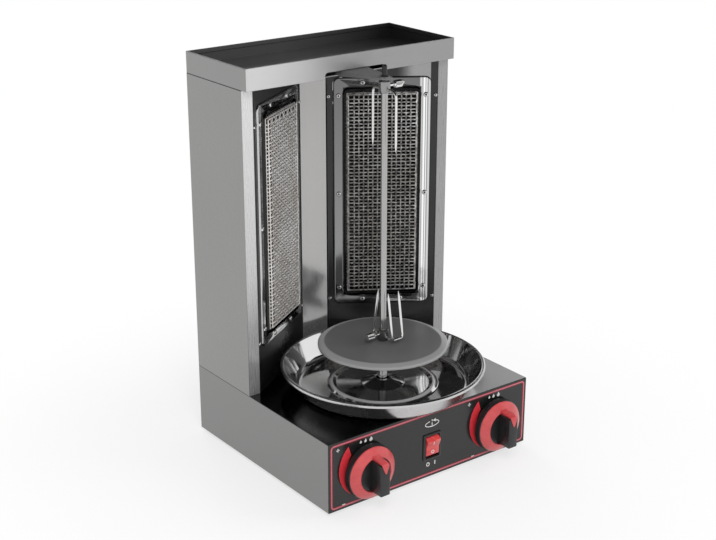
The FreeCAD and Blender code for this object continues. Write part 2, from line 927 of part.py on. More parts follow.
def make_gas_supply():
    length = 2 * d.rail_half_length
    start = -d.rail_half_length
    rail = rod("rail_outer", d.rail_radius, length, (start, -d.rail_front, d.knob_up), "x")
    bore = rod("rail_bore", d.rail_radius - 1.5, length, (start + 3, -d.rail_front, d.knob_up), "x")
    ports = []
    for side in (-1, 1):
        at = (side * d.knob_x, -d.rail_front - d.rail_radius - 1, d.knob_up)
        ports.append(rod("rail_port", 5 + d.running_gap, d.rail_radius + 1, at, "y"))
    node(cut("gas_rail_cut", rail, [bore] + ports), "gas_rail")

    pipe = document.addObject("Part::Feature", "supply_pipe")
    pipe.Shape = bent_tube(
        "supply_pipe",
        [
            (d.rail_half_length, -d.rail_front, d.knob_up),
            (d.inlet_x, -d.rail_front, d.knob_up),
            (d.inlet_x, BACK - 20, d.knob_up),
        ],
        5,
        4,
        14,
    )
    node(pipe, "supply_pipe")

    inlet = new_body("gas_inlet")
    profile = new_sketch(inlet, "XY_Plane")
    wall = BACK
    polygon(
        profile,
        [
            (3, wall - 20),
            (8, wall - 20),
            (8, wall - 10),
            (10, wall - 10),
            (10, wall - d.sheet_gauge),
            (6.9, wall - d.sheet_gauge),
            (6.9, wall),
            (11, wall),
            (11, wall + 5),
            (6, wall + 6),
            (6, wall + 12),
            (5, wall + 12),
            (5, d.inlet_reach - 1),
            (4.2, d.inlet_reach),
            (3, d.inlet_reach),
        ],
    )
    revolve(inlet, profile)
    place(inlet, (d.inlet_x, 0, d.knob_up))

    jets = []
    for side, word in ((-1, "left"), (1, "right")):
        x, y = burner_point(side, 0, d.tube_back.number)
        jet_bottom = BASE_TOP - 46
        hexagon = document.addObject("Part::Prism", "jet_hexagon")
        hexagon.Polygon = 6
        bind(hexagon, "Circumradius", 6)
        bind(hexagon, "Height", 10)
        place(hexagon, (x, y, jet_bottom))
        nozzle = cone("jet_nozzle", 4, 2.2, 9, (x, y, jet_bottom + 9.5))
        hole = rod("jet_hole", 0.5, 30, (x, y, jet_bottom - 1))
        inside = rod("jet_inside", 2, 13, (x, y, jet_bottom - 1))
        jets.append(cut("jet", fuse("jet_solid", [hexagon, nozzle]), [hole, inside]))

        tube = document.addObject("Part::Feature", f"gas_tube_{word}")
        tube.Shape = bent_tube(
            f"gas_tube_{word}",
            [
                (side * d.knob_x, -BACK + 22, d.knob_up - 17),
                (side * d.knob_x, -BACK + 22, d.gas_tube_low - 4),
                (x, y, d.gas_tube_low - 4),
                (x, y, jet_bottom),
            ],
            d.gas_tube_radius.number,
            d.gas_tube_radius.number - 1,
            8,
        )
        node(tube, f"gas_tube_{word}")
    group = document.addObject("Part::Compound", "jets_group")
    group.Links = jets
    node(group, "gas_jets")


# A valve: body, turning plug, spindle and the nut that holds it to the panel
def make_valve(side, word):
    x = side * d.knob_x
    up = d.knob_up
    inside = -PANEL_BACK
    front = -BACK
    body = rod("valve_barrel", d.valve_radius, 26, (x, inside, up), "y")
    neck = rod("valve_neck", 5.95, 8, (x, front - 4.5, up), "y")
    stub = rod("valve_stub", 5, d.panel_gauge + 39, (x, front, up), "y")
    outlet = rod("valve_outlet", 4.5, 17, (x, front + 22, up), "-z")
    bores = [
        rod("valve_spindle_bore", d.spindle_radius + d.running_gap, 20, (x, front - 5, up), "y"),
        rod("valve_plug_bore", d.plug_radius + d.running_gap, 16, (x, front + 8, up), "y"),
        rod("valve_gas_way", 2, 30, (x, front + 20, up), "y"),
        rod("valve_outlet_bore", 2, 20, (x, front + 22, up), "-z"),
    ]
    valve = cut(f"gas_valve_{word}_cut", fuse("valve_solid", [body, neck, stub, outlet]), bores)
    node(valve, f"gas_valve_{word}")

    plug = rod("plug_solid", d.plug_radius, 15.6, (x, front + 8.2, up), "y")
    slot = rod("plug_slot", d.spindle_radius + d.running_gap, 12, (x, front + 7, up), "y")
    gas_way = rod("plug_way", 1.5, 8, (x, front + 17, up), "y")
    node(cut("valve_plug_cut", plug, [slot, gas_way]), f"valve_plug_{word}")

    spindle = rod("spindle_rod", d.spindle_radius, 39.5, (x, front - 25, up), "y")
    flat = block("spindle_flat", (x - 5, front - 26, up + 2.3), (x + 5, front - 12, up + 5))
    node(cut("spindle_cut", spindle, [flat]), f"valve_spindle_{word}")


def make_valve_nuts():
    nuts = []
    for side in (-1, 1):
        hexagon = document.addObject("Part::Prism", "nut_hexagon")
        hexagon.Polygon = 6
        bind(hexagon, "Circumradius", 9.8)
        bind(hexagon, "Height", 3.5)
        hexagon.Placement = Placement(Vector(0, 0, 0), TURNS["-y"])
        place(hexagon, (side * d.knob_x, -BACK, d.knob_up))
        bore = rod("nut_bore", 6, 6, (side * d.knob_x, -BACK - 5, d.knob_up), "y")
        nuts.append(cut("nut", hexagon, [bore]))
    group = document.addObject("Part::Compound", "nuts_group")
    group.Links = nuts
    node(group, "valve_nuts")


# Knobs, drawn on their own axis with the outward direction along +Z and up along +Y
def make_knob(side, word):
    knob = new_body(f"knob_{word}")
    profile = new_sketch(knob, "XZ_Plane")
    polygon(
        profile,
        [
            (d.spindle_radius + d.running_gap, 8.5),
            (12, 8.5),
            (12, 6.5),
            (d.knob_radius - 3, 6.5),
            (d.knob_radius - 3, 4),
            (d.knob_radius, 4),
            (d.knob_radius - 0.6, 11.5),
            (d.ring_outer + 0.1, 12.2),
            (d.ring_outer + 0.1, 9.5),
            (d.ring_inner - 0.1, 9.5),
            (d.ring_inner - 0.1, d.knob_face),
            (d.spindle_radius + d.running_gap, d.knob_face),
        ],
    )
    revolve(knob, profile)
    half = d.grip_width / 2
    end = d.grip_half_length
    front = d.grip_front
    face = d.knob_face
    grip = new_sketch(knob, "YZ_Plane")
    polygon(grip, [(-end, face - 0.5), (-end, front), (end - 2, front), (end, front - 1.5), (end, face - 0.5)])
    grip_pad = pad(knob, grip, d.grip_width, both_ways=True)
    round_edges(
        knob,
        grip_pad,
        2,
        lambda edge: runs_along(edge, Vector(0, 1, 0)) and edge.CenterOfMass.z > front.number - 0.5,
    )
    bore = circle(new_sketch(knob, "XY_Plane"), (0, 0), d.spindle_radius + d.running_gap)
    pocket(knob, bore, 25.2, reverse=True)
    aim_knob(knob, side)

    ring = new_body(f"knob_ring_{word}")
    profile = new_sketch(ring, "XZ_Plane")
    polygon(
        profile,
        [
            (d.ring_inner, 9.5),
            (d.ring_outer, 9.5),
            (d.ring_outer, 12.8),
            (d.ring_outer - 0.5, 13.4),
            (d.ring_inner + 0.9, face + 2.6),
            (d.ring_inner, face + 2.3),
        ],
    )
    revolve(ring, profile)
    bridge = new_sketch(ring, "YZ_Plane")
    polygon(
        bridge,
        [
            (end + 0.05, face + 0.05),
            (end + 0.05, front - 1.4),
            (end - 2, front + 0.05),
            (end - 2, front + 0.9),
            (end + 1.2, front - 0.7),
            (end + 2.6, front - 5),
            (end + 3.4, face + 7),
            (end + 5, face + 0.5),
            (end + 5, 12),
            (d.ring_inner, 12),
            (d.ring_inner, face + 0.05),
        ],
    )
    tongue_half = 4.8
    pad(ring, bridge, tongue_half * 2, both_ways=True)
    pointer = new_sketch(ring, "XY_Plane", front + 0.05)
    polygon(pointer, [(-tongue_half, end - 1.5), (tongue_half, end - 1.5), (0.8, 9), (-0.8, 9)])
    pad(ring, pointer, 0.85)
    aim_knob(ring, side)


def aim_knob(thing, side):
    thing.Placement = Placement(Vector(0, 0, 0), TURNS["-y"])
    place(thing, (side * d.knob_x, -BACK, d.knob_up))


# Spit drive

def make_drive():
    gauge = 1.5
    plate_up = d.motor_plate_up
    under = BASE_TOP - d.sheet_gauge
    bracket = new_body("motor_bracket")
    hat = new_sketch(bracket, "XZ_Plane", d.spit_front)
    polygon(
        hat,
        [
            (-42, under),
            (-32 + gauge, under),
            (-32 + gauge, plate_up + gauge),
            (32 - gauge, plate_up + gauge),
            (32 - gauge, under),
            (42, under),
            (42, under - gauge),
            (32, under - gauge),
            (32, plate_up),
            (-32, plate_up),
            (-32, under - gauge),
            (-42, under - gauge),
        ],
    )
    pad(bracket, hat, 40, both_ways=True)
    holes = new_sketch(bracket, "XY_Plane", BASE_TOP)
    circle(holes, (0, SPIT_Y), 9)
    for x, y, z, along in case_screw_places():
        if along == "z":
            circle(holes, (x, y), 1.8)
    pocket(bracket, holes, 30)

    gap = d.running_gap
    gearbox = rod("gearbox", d.motor_radius, 18, (0, SPIT_Y, plate_up - 18))
    boss = rod("motor_boss", 8.9, 4, (0, SPIT_Y, plate_up - 1))
    stator = rod("motor_can", d.motor_radius - 4, 24, (0, SPIT_Y, plate_up - 42))
    terminal = block("motor_terminal", (18, SPIT_Y - 6, plate_up - 34), (28, SPIT_Y + 6, plate_up - 22))
    shaft_bore = rod("motor_bore", d.spit_radius + gap, 20, (0, SPIT_Y, plate_up - 10))
    motor = cut("gear_motor_cut", fuse("motor_solid", [gearbox, boss, stator, terminal]), [shaft_bore])
    node(motor, "gear_motor")

    shaft = rod("drive_rod", d.spit_radius, d.drive_top - plate_up + 9.5, (0, SPIT_Y, plate_up - 9.5))
    flat = block("drive_flat", (-5, SPIT_Y + 3, d.socket_bottom + 2), (5, SPIT_Y + 6, d.drive_top + 1))
    node(cut("drive_shaft_cut", shaft, [flat]), "drive_shaft")

    bush = new_body("drive_bush")
    profile = new_sketch(bush, "XZ_Plane")
    polygon(
        profile,
        [
            (d.spit_radius + gap, BASE_TOP - 8),
            (7, BASE_TOP - 8),
            (7, BASE_TOP),
            (11, BASE_TOP),
            (11, BASE_TOP + 1.2),
            (8, BASE_TOP + 3),
            (d.spit_radius + gap, BASE_TOP + 3),
        ],
    )
    revolve(bush, profile)
    place(bush, (0, SPIT_Y, 0))


# Spit, disc, pan and forks, on the spit's axis

def make_spit():
    gap = d.running_gap
    spit = new_body("spit_rod")
    profile = new_sketch(spit, "XZ_Plane")
    polygon(
        profile,
        [
            (d.spit_radius + gap, d.socket_bottom),
            (d.socket_radius, d.socket_bottom),
            (d.socket_radius, d.socket_top),
            (d.spit_radius, d.socket_top),
            (d.spit_radius, d.spit_top),
            (2 + gap, d.spit_top),
            (2 + gap, d.spit_top - 9),
            (0, d.spit_top - 9),
            (0, d.drive_top),
            (d.spit_radius + gap, d.drive_top),
        ],
    )
    revolve(spit, profile)
    place(spit, (0, SPIT_Y, 0))

    disc = new_body("meat_disc")
    profile = new_sketch(disc, "XZ_Plane")
    top = d.disc_top
    gauge = d.disc_gauge
    rim = d.disc_radius
    flat = d.disc_flat_radius
    bottom = top - d.disc_rim_drop
    bore = d.spit_radius + gap
    polygon(
        profile,
        [
            (bore, top),
            (flat, top),
            (rim, top - 2.5),
            (rim, bottom),
            (rim - gauge, bottom),
            (rim - gauge, top - 2.5 - gauge),
            (flat - 0.5, top - gauge),
            (9, top - gauge),
            (9, d.socket_top),
            (bore, d.socket_top),
        ],
    )
    turned = revolve(disc, profile)
    round_edges(disc, turned, 1.2, lambda edge: is_ring(edge, rim.number, top.number - 2.5))
    place(disc, (0, SPIT_Y, 0))



def make_pan():
    pan = new_body("drip_pan")
    profile = new_sketch(pan, "XZ_Plane")
    gauge = d.pan_gauge
    low = BASE_TOP
    rim = d.pan_rim_radius
    rim_top = d.pan_rim_top
    foot = d.pan_foot_radius
    bead = d.pan_bead_radius
    cone_foot = d.pan_cone_radius
    cone_top = d.pan_cone_top
    hole = d.pan_hole_radius
    polygon(
        profile,
        [
            (hole, cone_top),
            (hole + 3, cone_top),
            (cone_foot, low + gauge + 1),
            (bead - 4, low + gauge + 1),
            (bead, low + gauge + 4),
            (bead + 4, low + gauge),
            (foot - 0.6, low + gauge),
            (rim - 4, rim_top),
            (rim - 0.6, rim_top),
            (rim, rim_top - 1),
            (rim, rim_top - 3),
            (rim - 1, rim_top - 3),
            (rim - 1, rim_top - gauge),
            (rim - 3.4, rim_top - gauge),
            (foot, low),
            (bead + 4, low),
            (bead, low + 3),
            (bead - 4, low + 1),
            (cone_foot, low + 1),
            (hole + 3, cone_top - gauge),
            (hole, cone_top - gauge),
        ],
    )
    turned = revolve(pan, profile)
    place(pan, (0, SPIT_Y, 0))
    bends = (
        (foot.number - 0.6, low.number + gauge.number),
        (foot.number, low.number),
    )
    round_edges(
        pan,
        turned,
        10,
        lambda edge: any(is_ring(edge, radius, height) for radius, height in bends),
    )


# A fork is a hub on the spit with a cross bar and tines, clamped by a thumb screw
def make_fork(word, hub_low, bar_up, reach, tine_shape, tines, screw_way, screw_up):
    hub = rod(f"{word}_hub", 7, d.fork_hub_height, (0, SPIT_Y, hub_low))
    pieces = [hub, rod(f"{word}_bar", d.fork_bar_radius, 2 * reach, (0, SPIT_Y - reach, bar_up), "y")]
    length, points_down = tine_shape
    for across, forward, lean in tines:
        tine = rod(f"{word}_tine", d.tine_radius, length - 8, (0, 0, 0))
        point = cone(f"{word}_point", d.tine_radius, 0.3, 8, (0, 0, length - 8))
        shoulder = document.addObject("Part::Sphere", f"{word}_shoulder")
        bind(shoulder, "Radius", d.fork_bar_radius)
        whole = fuse(f"{word}_whole_tine", [tine, point, shoulder])
        turn = lean + 180 if points_down else lean
        place(whole, (across, SPIT_Y - forward, bar_up), (Vector(1, 0, 0), turn))
        pieces.append(whole)
        if across.number:
            foot = (0, SPIT_Y - forward, bar_up)
            pieces.append(rod(f"{word}_side_bar", d.fork_bar_radius, across, foot, "x"))
    bore = rod(f"{word}_bore", d.spit_radius + d.running_gap, 40, (0, SPIT_Y, hub_low - 10))
    along = "x" if screw_way > 0 else "-x"
    tapping = rod(f"{word}_tapping", 2 + d.running_gap, 12, (0, SPIT_Y, screw_up), along)
    solid = fuse(f"{word}_fork_solid", pieces)
    node(cut(f"{word}_fork_cut", solid, [bore, tapping]), f"{word}_fork")

    start = d.spit_radius + 0.1
    neck = d.thumb_screw_reach - 10
    shank = rod(f"{word}_shank", 2, neck - start + 1, (screw_way * start, SPIT_Y, screw_up), along)
    collar = rod(f"{word}_collar", 3.2, 2, (screw_way * (neck - 2), SPIT_Y, screw_up), along)
    head = rod(f"{word}_head", 4.4, 10, (screw_way * neck, SPIT_Y, screw_up), along)
    node(fuse(f"{word}_fork_screw_solid", [shank, collar, head]), f"{word}_fork_screw")


def make_forks():
    hub_low = d.spit_top - 15
    reach = d.upper_fork_reach
    straight = as_size(0)
    make_fork(
        "upper",
        hub_low,
        hub_low + 4,
        reach,
        (d.upper_tine_length, True),
        [(straight, reach, straight), (straight, -reach, straight)],
        1,
        hub_low + 8,
    )
    hub_low = d.disc_top + 0.1
    reach = d.lower_fork_reach
    lean = d.lower_tine_lean
    make_fork(
        "lower",
        hub_low,
        hub_low + 5,
        reach,
        (d.lower_tine_length, False),
        [(straight, reach, -lean), (straight, -reach, lean), (d.side_tine_offset, reach, -lean)],
        -1,
        hub_low + 9,
    )


# Bracket, bush and centring pin that hold the top of the spit

def make_bracket():
    bracket = new_body("top_bracket")
    half = d.bracket_half_width
    gauge = d.bracket_gauge
    tray_front = BACK - d.tray_depth
    tip = SPIT_Y - d.bracket_tip
    outline = new_sketch(bracket, "XY_Plane", COLUMN_TOP)
    polygon(
        outline,
        [
            (-half, d.bracket_back),
            (-half, tray_front),
            (-7.5, tip),
            (7.5, tip),
            (half, tray_front),
            (half, d.bracket_back),
        ],
    )
    arm = pad(bracket, outline, d.bracket_height)
    round_edges(
        bracket,
        arm,
        5,
        lambda edge: runs_along(edge, Vector(0, 0, 1)) and edge.CenterOfMass.y < tip.number + 1,
    )
    hollow = new_sketch(bracket, "XY_Plane", BRACKET_TOP - gauge)
    polygon(
        hollow,
        [
            (-half + gauge, d.bracket_back + 1),
            (-half + gauge, tray_front),
            (-6, tip + gauge),
            (6, tip + gauge),
            (half - gauge, tray_front),
            (half - gauge, d.bracket_back + 1),
        ],
    )
    pocket(bracket, hollow, d.bracket_height)
    slope = new_sketch(bracket, "YZ_Plane")
    polygon(
        slope,
        [
            (4, COLUMN_TOP - 1),
            (4, COLUMN_TOP),
            (SPIT_Y + 8, BRACKET_TOP - gauge),
            (SPIT_Y - 12, BRACKET_TOP - gauge),
            (SPIT_Y - 12, COLUMN_TOP - 1),
        ],
    )
    pocket(bracket, slope, 60, both_ways=True)
    holes = new_sketch(bracket, "XY_Plane", BRACKET_TOP)
    circle(holes, (0, SPIT_Y), 5)
    for x, y, z, along in case_screw_places():
        if along == "-z" and z.number > COLUMN_TOP.number:
            circle(holes, (x, y), 1.8)
    pocket(bracket, holes, d.bracket_height)

    bush = new_body("top_bush")
    profile = new_sketch(bush, "XZ_Plane")
    polygon(
        profile,
        [
            (d.pin_radius + d.running_gap, BRACKET_TOP - gauge - 0.6),
            (4.95, BRACKET_TOP - gauge - 0.6),
            (4.95, BRACKET_TOP),
            (6.5, BRACKET_TOP),
            (6.5, BRACKET_TOP + 1),
            (d.pin_radius + d.running_gap, BRACKET_TOP + 1),
        ],
    )
    revolve(bush, profile)
    place(bush, (0, SPIT_Y, 0))

    pin = new_body("top_pin")
    profile = new_sketch(pin, "XZ_Plane")
    polygon(
        profile,
        [
            (0, d.spit_top - 8.5),
            (1, d.spit_top - 8.5),
            (2, d.spit_top - 7.5),
            (2, d.spit_top + 0.3),
            (d.pin_radius, d.spit_top + 0.3),
            (d.pin_radius, BRACKET_TOP + 1.05),
            (4.4, BRACKET_TOP + 1.05),
            (4.4, BRACKET_TOP + 2.2),
            (d.pin_radius, BRACKET_TOP + 2.2),
            (d.pin_radius, d.pin_top - 1.5),
            (d.pin_radius - 1.2, d.pin_top),
            (0, d.pin_top),
        ],
    )
    revolve(pin, profile)
    place(pin, (0, SPIT_Y, 0))


# Switch and mains inlet

def make_switch():
    up = d.switch_up
    half_width = d.bezel_width / 2
    half_height = d.bezel_height / 2
    low = (-half_width, -BACK - 2.2, up - half_height)
    bezel = block("bezel", low, (half_width, -BACK, up + half_height))
    housing = block("switch_box", (-11.8, -BACK - 1, up - 15.3), (11.8, -BACK + 24, up + 15.3))
    mouth_x = d.rocker_width / 2 + 0.3
    mouth = block("switch_mouth", (-mouth_x, -BACK - 3, up - 14.3), (mouth_x, -BACK + 14, up + 14.3))
    tabs = [
        block("switch_tab", (-2.4, -BACK + 23, up + level - 0.4), (2.4, -BACK + 31, up + level + 0.4))
        for level in (-8, 8)
    ]
    pivot_hole = rod("switch_pivot_hole", 1.25, 40, (-20, -d.rocker_pivot_front, up), "x")
    solid = fuse("switch_solid", [bezel, housing] + tabs)
    node(cut("switch_housing_cut", solid, [mouth, pivot_hole]), "switch_housing")

    rocker = new_body("switch_rocker")
    profile = new_sketch(rocker, "YZ_Plane")
    polygon(
        profile,
        [
            (1, 13.4),
            (-6.2, 10.4),
            (-4.6, 0),
            (-6.2, -10.4),
            (1, -13.4),
            (6, -8),
            (9, 0),
            (6, 8),
        ],
    )
    pad(rocker, profile, d.rocker_width, both_ways=True)
    trunnion = circle(new_sketch(rocker, "YZ_Plane"), (0, 0), 1.2)
    pad(rocker, trunnion, d.rocker_width + 3, both_ways=True)
    place(rocker, (0, -d.rocker_pivot_front, up), (Vector(1, 0, 0), d.rocker_tilt))


def make_mains_inlet():
    x = -d.mains_x
    up = d.mains_up
    flange = block("mains_flange", (x - 18, BACK, up - 13), (x + 18, BACK + 2.5, up + 13))
    box = block("mains_box", (x - 14, BACK - 22, up - 9), (x + 14, BACK + 1, up + 9))
    mouth = block("mains_mouth", (x - 11.5, BACK - 16, up - 6.5), (x + 11.5, BACK + 4, up + 6.5))
    holes = [
        rod("mains_pin_hole", 1.2, 8, (x + way * 4.3, BACK - 23, up), "y") for way in (-1, 1)
    ]
    node(cut("power_inlet_cut", fuse("mains_solid", [flange, box]), [mouth] + holes), "power_inlet")

    pins = document.addObject("Part::Compound", "mains_pins_group")
    pins.Links = [rod("mains_pin", 1.15, 22, (x + way * 4.3, BACK - 26, up), "y") for way in (-1, 1)]
    node(pins, "power_inlet_pins")


# Two insulated wires inside the base: mains inlet to switch, and switch to motor
def make_wiring():
    x = -d.mains_x.number
    back = d.base_depth.number / 2
    spit_y = -d.spit_front.number
    up = d.mains_up.number
    switch_up = d.switch_up.number
    wires = []
    for name, points in (
        (
            "mains_wire",
            [
                (x, back - 26.5, up),
                (x, back - 55, up),
                (x + 50, back - 105, 20),
                (x + 50, -60, 20),
                (-8, -85, 20),
                (-8, -back + 37, 24),
                (-8, -back + 37, switch_up - 10),
            ],
        ),
        (
            "motor_wire",
            [
                (8, -back + 37, switch_up - 10),
                (8, -back + 37, 24),
                (8, -88, 20),
                (40, -74, 20),
                (40, spit_y, 20),
                (40, spit_y, 52),
                (29, spit_y, 52),
            ],
        ),
    ):
        wire = document.addObject("Part::Feature", name)
        wire.Shape = bent_tube(name, points, 1.6, 0, 5)
        wires.append(wire)
    group = document.addObject("Part::Compound", "wires_group")
    group.Links = wires
    node(group, "wiring")


# Case screws: into the back, down into the base and bracket, and up through the motor bracket

def case_screw_places():
    head_on_bracket = BRACKET_TOP
    tab_top = BASE_TOP + d.sheet_gauge
    under = BASE_TOP - d.sheet_gauge - 1.5
    tab_x = SIDE - d.sheet_gauge - d.column_tab / 2
    places = [(side * 120, BACK, d.foot_height + 4.6, "y") for side in (-1, 1)]
    places += [(side * 125, BACK, COLUMN_TOP - 5, "y") for side in (-1, 1)]
    places += [(side * tab_x, y, tab_top, "-z") for side in (-1, 1) for y in (50, 115)]
    places += [(0, y, head_on_bracket, "-z") for y in (48, 76)]
    places += [
        (side * 37, SPIT_Y + way * 12, under, "z") for side in (-1, 1) for way in (-1, 1)
    ]
    return [(as_size(x), as_size(y), as_size(z), along) for x, y, z, along in places]


def make_case_screws():
    screws = []
    for x, y, z, along in case_screw_places():
        if along == "y":
            head = cone("case_head", d.screw_head, d.screw_head - 1, 1.3, (x, y, z), "y")
            shank = rod("case_shank", d.screw_radius, 6.5, (x, y + 0.5, z), "-y")
        elif along == "-z":
            head = cone("case_head", d.screw_head, d.screw_head - 1, 1.3, (x, y, z), "z")
            shank = rod("case_shank", d.screw_radius, 9.5, (x, y, z + 0.5), "-z")
        else:
            head = cone("case_head", d.screw_head, d.screw_head - 1, 1.3, (x, y, z), "-z")
            shank = rod("case_shank", d.screw_radius, 3.1, (x, y, z - 0.5), "z")
        screws.append(fuse("case_screw", [head, shank]))
    group = document.addObject("Part::Compound", "case_screws_group")
    group.Links = screws
    node(group, "case_screws")


make_base()
make_feet()
make_front_panel()
make_column()
make_tray()
for burner_side, burner_word in ((-1, "left"), (1, "right")):
    make_burner(burner_side, burner_word)
    make_valve(burner_side, burner_word)
    make_knob(burner_side, burner_word)
make_burner_screws()
make_gas_supply()
make_valve_nuts()
make_drive()
make_spit()
make_pan()
make_forks()
make_bracket()
make_switch()
make_mains_inlet()
make_wiring()
make_case_screws()
document.recompute()

# Every object has to be sound before anything is written
for thing in document.Objects:
    if "Invalid" in thing.State or "Error" in thing.State:
        raise ValueError(f"{thing.Label} failed: {thing.State}")
for thing in nodes:
    if thing.Shape.isNull() or not thing.Shape.isValid():
        raise ValueError(f"{thing.Label} has no valid shape")

os.makedirs("parts", exist_ok=True)
for thing in nodes:
    thing.Shape.exportStep(f"parts/{thing.Label}.step")
print(f"{len(nodes)} parts written")
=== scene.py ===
import math

import bmesh
import bpy
from mathutils import Matrix, Vector


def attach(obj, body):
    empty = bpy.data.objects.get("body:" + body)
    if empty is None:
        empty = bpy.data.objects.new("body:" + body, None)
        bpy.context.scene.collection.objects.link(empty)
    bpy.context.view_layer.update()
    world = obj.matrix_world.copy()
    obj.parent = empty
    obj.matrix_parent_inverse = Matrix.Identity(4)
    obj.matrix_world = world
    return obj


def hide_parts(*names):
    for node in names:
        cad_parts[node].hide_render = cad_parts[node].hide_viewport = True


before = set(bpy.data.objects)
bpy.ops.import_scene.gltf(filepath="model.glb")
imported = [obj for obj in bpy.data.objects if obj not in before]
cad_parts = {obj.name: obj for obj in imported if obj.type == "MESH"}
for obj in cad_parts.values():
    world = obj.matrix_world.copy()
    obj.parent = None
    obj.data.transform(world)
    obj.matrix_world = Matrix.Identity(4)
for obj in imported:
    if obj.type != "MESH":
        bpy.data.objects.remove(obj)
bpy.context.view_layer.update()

# Looks of a table-top gas doner grill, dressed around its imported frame.
# Mesh code works in millimetres in the frame's own axes; piece() brings each finished piece to metres.

MM = 0.001

# Driving sizes, in millimetres, as the frame has them
HALF_WIDTH = 155
HALF_DEPTH = 142.5
BASE_TOP = 94
COLUMN_FRONT = 22.5
COLUMN_TOP = 477
ARM_TOP = 484
SPIT_Y = -45
BURNER_X, BURNER_Y, BURNER_ANGLE, BURNER_MIDDLE = 79.75, 61, 32.8, 303
KNOB_X, KNOB_UP = 100.5, 47
SWITCH_UP = 46
FOOT_HEIGHT = 5
ROCKER_PIVOT_Y, ROCKER_TILT = -140.5, 11

UPRIGHT = Matrix.Identity(4)
FACING_FRONT = Matrix.Rotation(math.radians(90), 4, "X")
FACING_BACK = Matrix.Rotation(math.radians(-90), 4, "X")
FACING_RIGHT = Matrix.Rotation(math.radians(90), 4, "Y")
FACING_LEFT = Matrix.Rotation(math.radians(-90), 4, "Y")
FACING_ASIDE = Matrix(((0, 0, 1, 0), (1, 0, 0, 0), (0, 1, 0, 0), (0, 0, 0, 1)))
CORNERS = ((-1, -1), (1, -1), (1, 1), (-1, 1))
SIDES = ((-1, "left"), (1, "right"))


# Tools for finishes

def grey(level, tint=0.0):
    return (level, level * (1 - tint), level * (1 - 2 * tint))


